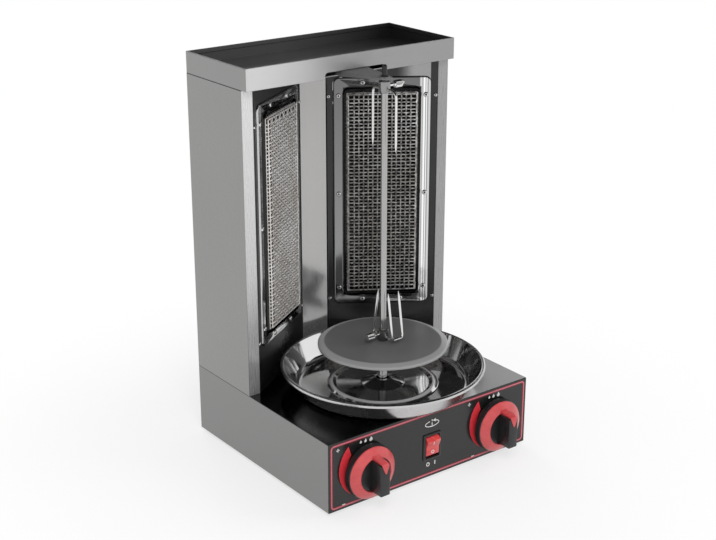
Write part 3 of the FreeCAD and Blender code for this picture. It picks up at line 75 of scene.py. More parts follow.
class Finish:
    """A material in the making: its node tree, its shader and where its patterns are read."""

    def __init__(self, name, color, roughness, metallic=0.0):
        self.name = name
        self.material = bpy.data.materials.new(name)
        self.material.use_nodes = True
        self.tree = self.material.node_tree
        self.shader = self.tree.nodes["Principled BSDF"]
        self.place = self.add("ShaderNodeTexCoord").outputs["Object"]
        self.normal = None
        self.set("Base Color", (*color, 1))
        self.set("Roughness", roughness)
        self.set("Metallic", metallic)

    def add(self, kind, **settings):
        made = self.tree.nodes.new(kind)
        for key, value in settings.items():
            setattr(made, key, value)
        return made

    def set(self, socket, value):
        self.shader.inputs[socket].default_value = value

    def join(self, out, into):
        self.tree.links.new(out, into)

    def drive(self, socket, out):
        self.join(out, self.shader.inputs[socket])

    def vector(self, operation, one, two=None):
        made = self.add("ShaderNodeVectorMath", operation=operation)
        self.join(one, made.inputs[0])
        if two is not None:
            made.inputs[1].default_value = two
        return made.outputs["Value" if operation == "LENGTH" else "Vector"]

    def mapped(self, scale, turn=0.0, centre=(0, 0, 0)):
        """Object coordinates, moved so that centre (metres) is the origin, turned about Z and scaled."""
        moved = self.add("ShaderNodeMapping")
        moved.inputs["Location"].default_value = [-place for place in centre]
        self.join(self.place, moved.inputs["Vector"])
        turned = self.add("ShaderNodeMapping")
        turned.inputs["Rotation"].default_value = (0, 0, turn)
        self.join(moved.outputs["Vector"], turned.inputs["Vector"])
        return self.vector("MULTIPLY", turned.outputs["Vector"], scale)

    def on_burner(self, side, scale=(1, 1, 1)):
        """Coordinates from the middle of a burner's face, with X along the face."""
        centre = (side * BURNER_X * MM, BURNER_Y * MM, BURNER_MIDDLE * MM)
        return self.mapped(scale, math.radians(side * BURNER_ANGLE), centre)

    def from_spit(self):
        """Distance from the spit's axis."""
        return self.vector("LENGTH", self.mapped((1, 1, 0), centre=(0, SPIT_Y * MM, 0)))

    def split(self, vector):
        apart = self.add("ShaderNodeSeparateXYZ")
        self.join(vector, apart.inputs["Vector"])
        return apart.outputs

    def axis(self, which):
        return self.split(self.place)[which]

    def lines_along(self, value, detail):
        """Noise that changes with one value only."""
        along = self.add("ShaderNodeCombineXYZ")
        self.join(value, along.inputs[0])
        return self.noise(1.0, detail, along.outputs[0])

    def noise(self, scale, detail, where=None, roughness=0.5):
        made = self.add("ShaderNodeTexNoise")
        for name, number in (("Scale", scale), ("Detail", detail), ("Roughness", roughness)):
            made.inputs[name].default_value = number
        self.join(where or self.place, made.inputs["Vector"])
        return made.outputs["Fac"]

    def math(self, operation, one, two=None):
        made = self.add("ShaderNodeMath", operation=operation)
        for slot, value in enumerate((one, two)):
            if isinstance(value, (int, float)):
                made.inputs[slot].default_value = value
            elif value is not None:
                self.join(value, made.inputs[slot])
        return made.outputs[0]

    def plus(self, one, two):
        return self.math("ADD", one, two)

    def minus(self, one, two):
        return self.math("SUBTRACT", one, two)

    def times(self, one, two):
        return self.math("MULTIPLY", one, two)

    def larger(self, one, two):
        return self.math("MAXIMUM", one, two)

    def over(self, one, two):
        return self.math("GREATER_THAN", one, two)

    def under(self, one, two):
        return self.math("LESS_THAN", one, two)

    def size(self, value):
        return self.math("ABSOLUTE", value)

    def spread(self, value, low=0.3, high=0.7, to_low=0.0, to_high=1.0, smooth=False):
        made = self.add("ShaderNodeMapRange")
        if smooth:
            made.interpolation_type = "SMOOTHSTEP"
        for name, number in (("From Min", low), ("From Max", high), ("To Min", to_low), ("To Max", to_high)):
            made.inputs[name].default_value = number
        self.join(value, made.inputs["Value"])
        return made.outputs["Result"]

    def mix(self, factor, one, two):
        """Two colours, each a triple or a socket, mixed by a factor."""
        made = self.add("ShaderNodeMix", data_type="RGBA")
        self.join(factor, made.inputs["Factor"])
        for slot, color in ((6, one), (7, two)):
            if isinstance(color, tuple):
                made.inputs[slot].default_value = (*color, 1)
            else:
                self.join(color, made.inputs[slot])
        return made.outputs[2]

    def color(self, factor, one, two):
        self.drive("Base Color", self.mix(factor, one, two))

    def rough(self, pattern, low, high):
        self.drive("Roughness", self.spread(pattern, to_low=low, to_high=high))

    def bump(self, height, depth, strength):
        made = self.add("ShaderNodeBump")
        made.inputs["Distance"].default_value = depth
        made.inputs["Strength"].default_value = strength
        self.join(height, made.inputs["Height"])
        if self.normal is not None:
            self.join(self.normal, made.inputs["Normal"])
        self.normal = made.outputs["Normal"]
        self.drive("Normal", self.normal)


# Camera, lamps and the room that the steel reflects

def make_camera():
    """The view of the photograph, found from corner points of the object."""
    data = bpy.data.cameras.new("camera")
    data.lens = 71.05
    data.sensor_width = 36
    azimuth, elevation = math.radians(-37.137), math.radians(20.2437)
    back = Vector((
        math.sin(azimuth) * math.cos(elevation),
        -math.cos(azimuth) * math.cos(elevation),
        math.sin(elevation),
    ))
    camera = bpy.data.objects.new("camera", data)
    camera.location = (-1.00137, -1.31617, 0.84181)
    camera.rotation_euler = (-back).to_track_quat("-Z", "Y").to_euler()
    bpy.context.scene.collection.objects.link(camera)
    bpy.context.scene.camera = camera


def add_lamp(name, place, size, watts):
    """A round lamp aimed at the middle of the object."""
    aim = (0, 0, 0.2)
    data = bpy.data.lights.new(name, "AREA")
    data.shape = "DISK"
    data.size = size
    data.energy = watts
    lamp = bpy.data.objects.new(name, data)
    lamp.location = place
    lamp.rotation_euler = (Vector(aim) - Vector(place)).to_track_quat("-Z", "Y").to_euler()
    lamp.visible_glossy = False
    bpy.context.scene.collection.objects.link(lamp)


def seen_directly(tree):
    """Factor that is 1 for rays from the camera, and for those that a mirror or glass passes on."""
    path = tree.nodes.new("ShaderNodeLightPath")
    total = path.outputs["Is Camera Ray"]
    for ray in ("Is Glossy Ray", "Is Transmission Ray"):
        larger = tree.nodes.new("ShaderNodeMath")
        larger.operation = "MAXIMUM"
        tree.links.new(total, larger.inputs[0])
        tree.links.new(path.outputs[ray], larger.inputs[1])
        total = larger.outputs[0]
    return total


def make_world():
    world = bpy.data.worlds.new("studio")
    world.use_nodes = True
    tree = world.node_tree
    ambient = tree.nodes["Background"]
    ambient.inputs["Color"].default_value = (1, 1, 1, 1)
    ambient.inputs["Strength"].default_value = 0.5
    shown = tree.nodes.new("ShaderNodeBackground")
    shown.inputs["Color"].default_value = (1, 1, 1, 1)
    shown.inputs["Strength"].default_value = 1
    mix = tree.nodes.new("ShaderNodeMixShader")
    tree.links.new(seen_directly(tree), mix.inputs["Fac"])
    tree.links.new(ambient.outputs["Background"], mix.inputs[1])
    tree.links.new(shown.outputs["Background"], mix.inputs[2])
    tree.links.new(mix.outputs["Shader"], tree.nodes["World Output"].inputs["Surface"])
    bpy.context.scene.world = world


def flat_sheet(name, corners, material):
    """One flat face for the stage, with its corners given in metres."""
    bm = bmesh.new()
    bm.faces.new([bm.verts.new(corner) for corner in corners])
    mesh = bpy.data.meshes.new(name)
    bm.to_mesh(mesh)
    bm.free()
    mesh.materials.append(material)
    sheet = bpy.data.objects.new(name, mesh)
    bpy.context.scene.collection.objects.link(sheet)
    return sheet


def make_floor():
    """White paper that fades into plain white away from the object."""
    paper = Finish("floor_paper", grey(0.97), 1)
    paper.set("Specular IOR Level", 0)
    fade = paper.spread(paper.vector("LENGTH", paper.place), 0.2, 0.6, 0.65, 1.0, smooth=True)
    share = paper.times(fade, seen_directly(paper.tree))
    far_white = paper.add("ShaderNodeEmission")
    mix = paper.add("ShaderNodeMixShader")
    paper.join(share, mix.inputs["Fac"])
    paper.join(paper.shader.outputs["BSDF"], mix.inputs[1])
    paper.join(far_white.outputs["Emission"], mix.inputs[2])
    paper.join(mix.outputs["Shader"], paper.tree.nodes["Material Output"].inputs["Surface"])
    reach = 6
    flat_sheet("floor", [(x * reach, y * reach, 0) for x, y in CORNERS], paper.material)


def reflection_card(name, low, high, height, level):
    """A level card that only polished surfaces see: a black flag near level 0, a soft box at level 1."""
    material = bpy.data.materials.new(name)
    material.use_nodes = True
    tree = material.node_tree
    glow = tree.nodes.new("ShaderNodeEmission")
    glow.inputs["Color"].default_value = (*grey(level), 1)
    tree.links.new(glow.outputs["Emission"], tree.nodes["Material Output"].inputs["Surface"])
    around = (low, (high[0], low[1]), high, (low[0], high[1]))
    card = flat_sheet(name, [(x, y, height) for x, y in around], material)
    for ray in ("camera", "diffuse", "transmission", "volume_scatter", "shadow"):
        setattr(card, f"visible_{ray}", False)


make_camera()
make_world()
make_floor()
reflection_card("ceiling_flag", (-2, -2), (2, 2), 1.15, 0.015)
reflection_card("soft_box_front", (-0.9, -2.2), (0.7, -1.2), 1.1, 1.0)
reflection_card("soft_box_front_right", (1.2, -1.9), (2.4, -0.8), 1.1, 1.0)
add_lamp("key", (-1.2, -1.9, 2.2), 1.4, 34)
add_lamp("fill", (1.9, -1.3, 1.7), 1.6, 16)
add_lamp("back_light", (0.4, 2.2, 2.0), 1.4, 14)


# Finishes

def brushed(name, level, roughness, grain, color_spread=0.12, metallic=1.0):
    """Brushed steel: fine lines along one axis, with soft cloudy differences in shade."""
    tint = 0.01
    finish = Finish(name, grey(level, tint), roughness, metallic)
    lines = finish.noise(1.0, 2, finish.mapped(grain))
    clouds = finish.noise(5.0, 2)
    finish.rough(lines, roughness * 0.8, roughness * 1.25)
    blend = finish.plus(finish.times(lines, 0.5), finish.times(clouds, 0.5))
    low, high = level * (1 - color_spread), level * (1 + color_spread)
    finish.color(finish.spread(blend), grey(low, tint), grey(high, tint))
    finish.bump(lines, 0.00002, 0.35)
    return finish


def polished(name, level, roughness, waviness=0.00006):
    """Mirror-polished steel: faint smears and hairlines, and sheet that isn't perfectly flat."""
    finish = Finish(name, grey(level, 0.005), roughness, 1.0)
    smears = finish.noise(14, 4, roughness=0.6)
    hairlines = finish.noise(1.0, 2, finish.mapped((2600, 260, 2600)))
    worn = finish.plus(finish.times(smears, 0.7), finish.times(hairlines, 0.3))
    finish.drive("Roughness", finish.spread(worn, 0.35, 0.65, roughness * 0.6, roughness * 1.7))
    low, high = level * 0.94, level * 1.04
    finish.color(finish.spread(smears), grey(low, 0.01), grey(high, 0.005))
    finish.bump(finish.noise(22, 1), waviness, 0.5)
    return finish


def frame_steel(side, word):
    """Polished frame with painted light: its outer upright edge gets a painted highlight band with fine
    painted reflection lines, the rest is painted lighter on the left frame than on the right and shades with
    height, and the lip is painted near-black as a painted shadow round the window.
    """
    finish = polished(f"frame_{word}", 0.5, 0.1)
    apart = finish.split(finish.on_burner(side))
    across = finish.times(apart[0], side)
    # Painted reflection: fine light lines and a light band along the outer upright edge.
    painted_reflection_stripes = finish.spread(finish.lines_along(finish.times(across, 420), 1), 0.42, 0.58)
    painted_highlight_band = finish.spread(across, 0.0475, 0.0485)
    height = finish.spread(apart[2], -0.15, 0.15)
    # Painted light: the left frame is a lit copy and the right frame a shaded copy, each shading with height.
    low, high = (grey(0.3), grey(0.17)) if side > 0 else (grey(0.85), grey(0.6))
    plain = finish.mix(height, low, high)
    face = finish.mix(painted_highlight_band, plain, finish.mix(painted_reflection_stripes, grey(0.34), grey(0.98)))
    window_x, window_z = 0.048, 0.138
    lip_width = 0.0034 if side < 0 else 0.0017
    past_side = finish.minus(finish.size(apart[0]), window_x + lip_width)
    past_end = finish.minus(finish.size(apart[2]), window_z + lip_width)
    # Painted shadow: the lip round the window is painted near-black.
    lip = finish.under(finish.larger(past_side, past_end), 0.0)
    finish.color(lip, face, grey(0.035))
    return finish


def pan_steel():
    """Mirror-polished inside, satin on the outside of its sloping wall."""
    foot_up, foot_radius, wall_slope, bead_radius = 0.095, 0.108, 0.58, 0.0645
    finish = polished("pan_steel", 0.74, 0.06, 0.0001)
    radius = finish.from_spit()
    wall = finish.plus(finish.times(finish.minus(finish.axis(2), foot_up), wall_slope), foot_radius)
    outside = finish.over(radius, wall)
    smears = finish.noise(60, 2)
    satin = finish.spread(smears, 0.3, 0.7, 0.2, 0.3)
    mirror = finish.spread(smears, 0.3, 0.7, 0.04, 0.1)
    drop = finish.times(outside, finish.minus(satin, mirror))
    finish.drive("Roughness", finish.plus(mirror, drop))
    finish.color(outside, grey(0.74), grey(0.6))
    from_bead = finish.size(finish.minus(radius, bead_radius))
    bead = finish.spread(from_bead, 0.0015, 0.0035, 0.5, 0.0, smooth=True)
    finish.drive("Metallic", finish.minus(1.0, bead))
    return finish


def base_steel():
    """The base: satin sides, and a polished top whose reflection is painted in: painted near-black at the
    left and painted light grey toward the right.
    """
    finish = Finish("base_steel", grey(0.5), 0.2, 1.0)
    side_lines = finish.noise(1.0, 2, finish.mapped((2400, 60, 2400)))
    clouds = finish.noise(7.0, 3)
    on_top = finish.over(finish.axis(2), (BASE_TOP - 0.9) * MM)
    satin = finish.mix(finish.spread(side_lines, 0.2, 0.8), grey(0.255, 0.01), grey(0.285, 0.01))
    # Painted reflection on the top: light grey to the right, near-black to the left, and less metallic where
    # painted light.
    bright = finish.mix(finish.spread(clouds), grey(0.54), grey(0.60))
    dark = finish.mix(finish.spread(clouds), grey(0.05), grey(0.09))
    right_of = finish.minus(finish.axis(0), finish.times(finish.axis(1), 0.75))
    painted_reflection_rightward = finish.spread(right_of, 0.04, 0.16, smooth=True)
    top = finish.mix(painted_reflection_rightward, dark, bright)
    painted_light_share = finish.times(finish.times(painted_reflection_rightward, on_top), 0.5)
    finish.drive("Metallic", finish.minus(1.0, painted_light_share))
    finish.color(on_top, satin, top)
    satin_rough = finish.spread(side_lines, 0.3, 0.7, 0.32, 0.42)
    bright_rough = finish.spread(clouds, 0.3, 0.7, 0.12, 0.2)
    drop = finish.minus(satin_rough, bright_rough)
    finish.drive("Roughness", finish.minus(satin_rough, finish.times(drop, on_top)))
    finish.bump(finish.noise(9, 1), 0.0002, 0.35)
    return finish


def column_steel():
    """Satin sides; folded flanges at the front with painted reflection, the left one painted light and
    lighter toward the top, the right one darker; and a painted shadow line under the tray.
    """
    finish = Finish("column_steel", grey(0.5), 0.3, 1.0)
    lines = finish.noise(1.0, 2, finish.mapped((2400, 2400, 45)))
    clouds = finish.noise(4.0, 2)
    beside = finish.over(finish.size(finish.axis(0)), (HALF_WIDTH - 0.5) * MM)
    behind = finish.over(finish.axis(1), (COLUMN_FRONT + 20) * MM)
    on_side = finish.larger(beside, behind)
    shade = finish.plus(finish.times(lines, 0.4), finish.times(clouds, 0.6))
    satin = finish.mix(finish.spread(shade), grey(0.284, 0.01), grey(0.306, 0.01))
    # Painted reflection on the flanges: lighter toward the top on the left, darker on the right.
    height = finish.spread(finish.axis(2), 0.1, 0.47)
    left = finish.mix(height, grey(0.50), grey(0.72))
    right = finish.mix(finish.spread(shade), grey(0.30), grey(0.36))
    bright = finish.mix(finish.over(finish.axis(0), 0.0), left, right)
    # Painted shadow: a near-black line just under the tray.
    painted_seam_shadow = finish.over(finish.axis(2), (COLUMN_TOP - 0.8) * MM)
    finish.color(painted_seam_shadow, finish.mix(on_side, bright, satin), grey(0.04))
    finish.drive("Metallic", finish.spread(on_side, 0.0, 1.0, 0.6, 1.0))
    finish.rough(lines, 0.24, 0.36)
    finish.bump(lines, 0.00002, 0.35)
    return finish


def tray_steel():
    """The tray: satin outside, its front painted lighter at the left and darker toward the right as painted
    reflection; darker on its floor and inner walls, with painted shade deepening toward the right.
    """
    finish = Finish("tray_steel", grey(0.5), 0.3, 1.0)
    lines = finish.noise(1.0, 2, finish.mapped((45, 2400, 2400)))
    clouds = finish.noise(5.0, 3)
    on_side = finish.over(finish.size(finish.axis(0)), (HALF_WIDTH - 0.4) * MM)
    # Painted reflection across the front: lighter at the left, darker to the right, with random cloudy tone.
    painted_front_reflection = finish.spread(finish.axis(0), -0.15, 0.02, smooth=True)
    uneven = finish.plus(painted_front_reflection, finish.spread(clouds, 0.3, 0.7, -0.08, 0.08))
    front = finish.mix(uneven, grey(0.65), grey(0.33))
    satin = finish.mix(finish.spread(clouds), grey(0.30, 0.005), grey(0.33, 0.005))
    behind = finish.over(finish.axis(1), 0.0125)
    before = finish.under(finish.axis(1), (HALF_DEPTH - 0.4) * MM)
    beside = finish.under(finish.size(finish.axis(0)), (HALF_WIDTH - 1.1) * MM)
    inside = finish.times(finish.times(behind, before), beside)
    outer = finish.larger(on_side, finish.minus(1.0, before))
    shell = finish.mix(outer, front, satin)
    # Painted shade in the tray's well, darker toward the right.
    painted_well_shade = finish.spread(finish.axis(0), -0.02, 0.14)
    well = finish.mix(painted_well_shade, grey(0.12), grey(0.03))
    finish.color(inside, shell, well)
    dull = finish.larger(finish.times(inside, 0.4), finish.minus(0.45, outer))
    finish.drive("Metallic", finish.minus(1.0, dull))
    finish.rough(clouds, 0.34, 0.44)
    finish.bump(lines, 0.00002, 0.3)
    finish.bump(finish.noise(8, 1), 0.0002, 0.3)
    return finish


def disc_steel():
    """Turned steel: fine rings about the spit, a darker satin top and a bright rim."""
    finish = Finish("disc_steel", grey(0.4), 0.3, 0.3)
    radius = finish.from_spit()
    ring_lines = finish.lines_along(finish.times(radius, 1800), 2)
    rim = finish.spread(radius, 0.0715, 0.0745, smooth=True)
    clouds = finish.noise(12, 3)
    satin = finish.mix(finish.spread(clouds), grey(0.14), grey(0.18))
    finish.color(rim, satin, grey(0.38))
    finish.rough(ring_lines, 0.3, 0.44)
    finish.bump(ring_lines, 0.00002, 0.5)
    return finish


def enamel(name, level, low_rough, high_rough, peel):
    """Black enamel: a faint orange peel, dust and a few dull smears."""
    finish = Finish(name, grey(level), low_rough)
    dust = finish.noise(240, 4, roughness=0.7)
    smears = finish.noise(9, 4, roughness=0.6)
    finish.color(finish.spread(dust, 0.55, 0.75), grey(level), grey(level * 1.8 + 0.004))
    finish.rough(smears, low_rough, high_rough)
    finish.bump(finish.noise(700, 2), peel, 0.4)
    return finish


def burner_wall(side, word):
    """Black enamel; on the right wall only, the upper middle is uncoated polished steel as a painted
    reflection of light there, darkened toward the left by painted shade under the arm.
    """
    finish = enamel(f"wall_{word}", 0.010, 0.26, 0.4, 0.00003)
    if side > 0:
        apart = finish.split(finish.on_burner(side))
        middle = finish.spread(finish.size(apart[0]), 0.0615, 0.0618, 1.0, 0.0)
        # Painted reflection: a band of polished steel on the right wall only.
        painted_reflection_band = finish.times(middle, finish.spread(apart[2], 0.02, 0.04))
        # Painted shade: the steel darkens toward the left, under the arm.
        across = finish.spread(apart[0], 0.016, 0.042, smooth=True)
        finish.drive("Metallic", finish.times(painted_reflection_band, across))
        steel = finish.mix(across, grey(0.015), grey(0.34))
        finish.color(painted_reflection_band, grey(0.012), steel)
        finish.rough(finish.noise(9, 4), 0.2, 0.32)
    return finish


def moulded(name, color, roughness, grain_depth):
    """Moulded plastic: fine grain and slight unevenness in its colour."""
    finish = Finish(name, color, roughness)
    grain = finish.noise(2600, 2)
    clouds = finish.noise(60, 3)
    dark = tuple(0.88 * part for part in color)
    light = tuple(1.1 * part + 0.004 for part in color)
    finish.color(finish.spread(clouds), dark, light)
    finish.rough(clouds, roughness * 0.85, roughness * 1.2)
    finish.bump(grain, grain_depth, 0.5)
    return finish


def red_insert():
    """Glossy red plastic, streaked a little where it flowed into the mould."""
    finish = Finish("knob_red", (0.62, 0.05, 0.06), 0.25)
    streaks = finish.noise(60, 3, finish.mapped((1, 1, 1.6)))
    finish.color(finish.spread(streaks), (0.56, 0.055, 0.06), (0.66, 0.085, 0.09))
    finish.rough(streaks, 0.3, 0.38)
    finish.set("Coat Weight", 0.25)
    finish.set("Subsurface Weight", 0.15)
    finish.set("Subsurface Scale", 0.002)
    finish.bump(finish.noise(1200, 2), 0.00002, 0.5)
    return finish


def rocker_red():
    finish = Finish("rocker_red", (0.7, 0.05, 0.05), 0.15)
    clouds = finish.noise(160, 2)
    finish.color(finish.spread(clouds), (0.6, 0.03, 0.04), (0.78, 0.09, 0.08))
    finish.rough(clouds, 0.12, 0.22)
    finish.set("Subsurface Weight", 0.3)
    finish.set("Subsurface Scale", 0.004)
    finish.set("Coat Weight", 0.4)
    finish.bump(clouds, 0.00005, 0.3)
    return finish


def ink(name, color):
    """Screen-printed ink, a little uneven."""
    finish = Finish(name, color, 0.4)
    patches = finish.noise(900, 3)
    dark = tuple(0.85 * part for part in color)
    finish.color(finish.spread(patches, 0.35, 0.6), dark, color)
    finish.rough(patches, 0.32, 0.5)
    return finish


def ceramic(side, word):
    """Porous tile drilled with rows of fine holes, stained by heat; the tile's colour is painted near-black
    as painted shade behind the guard, the holes darkest of all as painted shade.
    """
    finish = Finish(f"tile_{word}", (0.4, 0.36, 0.3), 0.9)
    pitch = 2.3 * MM
    cells = finish.vector("FRACTION", finish.on_burner(side, (1 / pitch, 0, 1 / pitch)))
    from_hole = finish.vector("LENGTH", finish.vector("SUBTRACT", cells, (0.5, 0, 0.5)))
    hole = finish.spread(from_hole, 0.26, 0.32)
    stain = finish.spread(finish.noise(18, 4), 0.35, 0.65)
    # Painted shade: the tile is given a near-black colour where it lies behind the guard.
    clay_in_painted_shade = finish.mix(stain, (0.022, 0.019, 0.017), (0.05, 0.044, 0.038))
    finish.color(hole, (0.015, 0.013, 0.012), clay_in_painted_shade)
    finish.set("Specular IOR Level", 0.15)
    finish.bump(hole, 0.0006, 0.8)
    finish.bump(finish.noise(900, 3), 0.00006, 0.6)
    return finish


def mesh_wire(name, level, low_level, painted_glint_share, metallic):
    """Woven wire, tanned by heat in patches and darker toward the bottom, with black flecks painted in as
    painted reflection, the dark glints of thin polished wire.
    """
    finish = Finish(name, grey(level), 0.35, metallic)
    heat = finish.noise(26, 3)
    fine = finish.noise(500, 3)
    height = finish.spread(finish.axis(2), 0.33, 0.43)
    clean = finish.mix(height, grey(low_level, 0.02), grey(level, 0.01))
    tanned = finish.mix(height, grey(0.82 * low_level, 0.05), grey(0.82 * level, 0.05))
    shade = finish.mix(finish.spread(heat, 0.35, 0.65), clean, tanned)
    # Painted reflection: black flecks for the dark glints that thin polished wires show.
    painted_glint_spots = finish.spread(finish.noise(230, 1), 0.38, 0.62, painted_glint_share, 0.0)
    finish.color(painted_glint_spots, shade, grey(0.03))
    finish.rough(fine, 0.28, 0.48)
    return finish


def cast(name, color, roughness, metallic, grain):
    """Cast or plated metal with a fine pitted skin."""
    finish = Finish(name, color, roughness, metallic)
    pits = finish.noise(grain, 4, roughness=0.65)
    dark = tuple(0.75 * part for part in color)
    light = tuple(1.15 * part for part in color)
    finish.color(finish.spread(pits), dark, light)
    finish.rough(pits, roughness * 0.8, roughness * 1.25)
    finish.bump(pits, 0.00008, 0.5)
    return finish


FINISHES = {finish.name: finish.material for finish in (
    base_steel(),
    column_steel(),
    tray_steel(),
    brushed("inner_steel", 0.36, 0.32, (1800, 60, 1800)),
    brushed("centre_steel", 0.44, 0.13, (1200, 1200, 20), 0.03, metallic=0.75),
    brushed("bracket_steel", 0.17, 0.42, (1500, 60, 1500), 0.15, metallic=0.4),
    enamel("panel_black", 0.012, 0.10, 0.2, 0.00001),
    *(burner_wall(*side) for side in SIDES),
    *(frame_steel(*side) for side in SIDES),
    *(ceramic(*side) for side in SIDES),
    pan_steel(),
    disc_steel(),
    polished("rod_steel", 0.42, 0.12, 0.00001),
    polished("fork_chrome", 0.78, 0.08, 0.00001),
    # The fork hubs: the forks' chrome painted darker, as painted shade.
    polished("hub_chrome_painted_shade", 0.30, 0.12, 0.00001),
    polished("screw_steel", 0.70, 0.18, 0.00001),
    # Painted light: the left guard is a lit copy of the wire and the right a shaded copy, and the uprights
    # are painted darker than the level wires.
    mesh_wire("wire_left", 0.98, 0.98, 0.2, 0.4),
    mesh_wire("wire_right", 0.98, 0.68, 0.65, 0.75),
    mesh_wire("upright_left", 0.64, 0.60, 0.3, 0.4),
    mesh_wire("upright_right", 0.75, 0.5, 0.7, 0.75),
    moulded("knob_black", (0.014, 0.014, 0.015), 0.3, 0.00002),
    moulded("switch_black", (0.012, 0.012, 0.013), 0.22, 0.00001),
    moulded("rubber_black", (0.02, 0.02, 0.02), 0.75, 0.00006),
    moulded("wire_black", (0.03, 0.03, 0.03), 0.5, 0.00002),
    red_insert(),
    rocker_red(),
    cast("pin_black", (0.02, 0.02, 0.021), 0.35, 0.3, 900),
    cast("burner_iron", (0.10, 0.098, 0.095), 0.6, 0.7, 500),
    cast("tube_aluminium", (0.55, 0.55, 0.56), 0.35, 1.0, 420),
    cast("fitting_brass", (0.60, 0.43, 0.20), 0.28, 1.0, 700),
    cast("motor_metal", (0.42, 0.42, 0.43), 0.4, 1.0, 600),
    ink("ink_red", (0.72, 0.035, 0.05)),
    ink("ink_red_deep", (0.22, 0.012, 0.02)),
    ink("ink_pink", (0.62, 0.16, 0.20)),
    ink("ink_white", (0.82, 0.82, 0.80)),
)}


# Mesh tools. Each returns a bmesh of its own, in millimetres

def rounded(points, closed, steps=5):
    """A line through (across, up, radius) corners, where a corner with a radius becomes an arc."""
    line = []
    for index, (across, up, radius) in enumerate(points):
        here = Vector((across, up))
        if not radius or (not closed and index in (0, len(points) - 1)):
            line.append(here)
            continue
        into = (Vector(points[index - 1][:2]) - here).normalized()
        out = (Vector(points[(index + 1) % len(points)][:2]) - here).normalized()
        half = into.angle(out) / 2
        reach = radius / math.tan(half)
        centre = here + (into + out).normalized() * (radius / math.sin(half))
        start, end = here + into * reach - centre, here + out * reach - centre
        first = math.atan2(start.y, start.x)
        sweep = (math.atan2(end.y, end.x) - first + math.pi) % math.tau - math.pi
        for step in range(steps + 1):
            angle = first + sweep * step / steps
            line.append(centre + radius * Vector((math.cos(angle), math.sin(angle))))
    return line


def put(part, at=(0, 0, 0), turn=UPRIGHT):
    bmesh.ops.transform(part, matrix=Matrix.Translation(at) @ turn, verts=part.verts)
    return part


def lathe(points, steps, closed=False):
    """Spins a line of (radius, height, corner radius) points about Z."""
    part = bmesh.new()
    verts = [part.verts.new((across, 0, up)) for across, up in rounded(points, closed)]
    edges = [part.edges.new(pair) for pair in zip(verts, verts[1:])]
    if closed:
        edges.append(part.edges.new((verts[-1], verts[0])))
    bmesh.ops.spin(
        part, geom=verts + edges, axis=(0, 0, 1), cent=(0, 0, 0), angle=math.tau, steps=steps, use_merge=True
    )
    return part


def about_spit(points, steps, closed=True, up=0):
    return put(lathe(points, steps, closed), (0, SPIT_Y, up))


def soften(part, width, segments=2, angle=30):
    """Rounds the edges where faces meet at more than the angle."""
    bmesh.ops.remove_doubles(part, verts=part.verts, dist=0.0005)
    bmesh.ops.recalc_face_normals(part, faces=part.faces)
    sharp = [
        edge for edge in part.edges
        if len(edge.link_faces) == 2 and edge.calc_face_angle() > math.radians(angle)
    ]
    bmesh.ops.bevel(
        part, geom=sharp, offset=width, offset_type="OFFSET", segments=segments, profile=0.5,
        affect="EDGES", clamp_overlap=True, material=-1,
    )
    return part


def plate(points, thickness):
    """A flat plate in XY from z 0 up to its thickness."""
    part = bmesh.new()
    face = part.faces.new([part.verts.new((x, y, 0)) for x, y in rounded(points, True, 6)])
    grown = bmesh.ops.extrude_face_region(part, geom=[face])
    top = [item for item in grown["geom"] if isinstance(item, bmesh.types.BMVert)]
    bmesh.ops.translate(part, verts=top, vec=(0, 0, thickness))
    return part


def side_plate(points, width):
    """A plate centred on the middle plane, with its outline drawn as seen from the side."""
    return put(plate(points, width), (-width / 2, 0, 0), FACING_ASIDE)


def block(low, high, edge=0.4):
    size = [far - near for near, far in zip(low, high)]
    middle = [(far + near) / 2 for near, far in zip(low, high)]
    part = bmesh.new()
    bmesh.ops.create_cube(part, size=1, matrix=Matrix.Translation(middle) @ Matrix.Diagonal((*size, 1)))
    return soften(part, edge)


def ring_stack(sections):
    """Rounded rectangles (half width, half height, corner, depth) in XZ, joined one to the next."""
    part = bmesh.new()
    rings = []
    for half_width, half_height, corner, depth in sections:
        outline = rounded([(x * half_width, z * half_height, corner) for x, z in CORNERS], True, 6)
        verts = [part.verts.new((x, depth, z)) for x, z in outline]
        rings.append([part.edges.new(pair) for pair in zip(verts, verts[1:] + verts[:1])])
    for ring, following in zip(rings, rings[1:] + rings[:1]):
        bmesh.ops.bridge_loops(part, edges=ring + following)
    return part


def wires(paths, radius, roundness=1, taper=None):
    """Round wires along lists of points, with an optional list of radius shares for each path."""
    curve = bpy.data.curves.new("wires", "CURVE")
    curve.dimensions = "3D"
    curve.bevel_depth = radius
    curve.bevel_resolution = roundness
    curve.use_fill_caps = True
    for path in paths:
        spline = curve.splines.new("POLY")
        spline.points.add(len(path) - 1)
        for index, (point, place) in enumerate(zip(spline.points, path)):
            point.co = (*place, 1)
            point.radius = taper[index] if taper else 1
    holder = bpy.data.objects.new("wires", curve)
    mesh = bpy.data.meshes.new_from_object(holder)
    part = bmesh.new()
    part.from_mesh(mesh)
    bpy.data.meshes.remove(mesh)
    bpy.data.objects.remove(holder)
    bpy.data.curves.remove(curve)
    return part


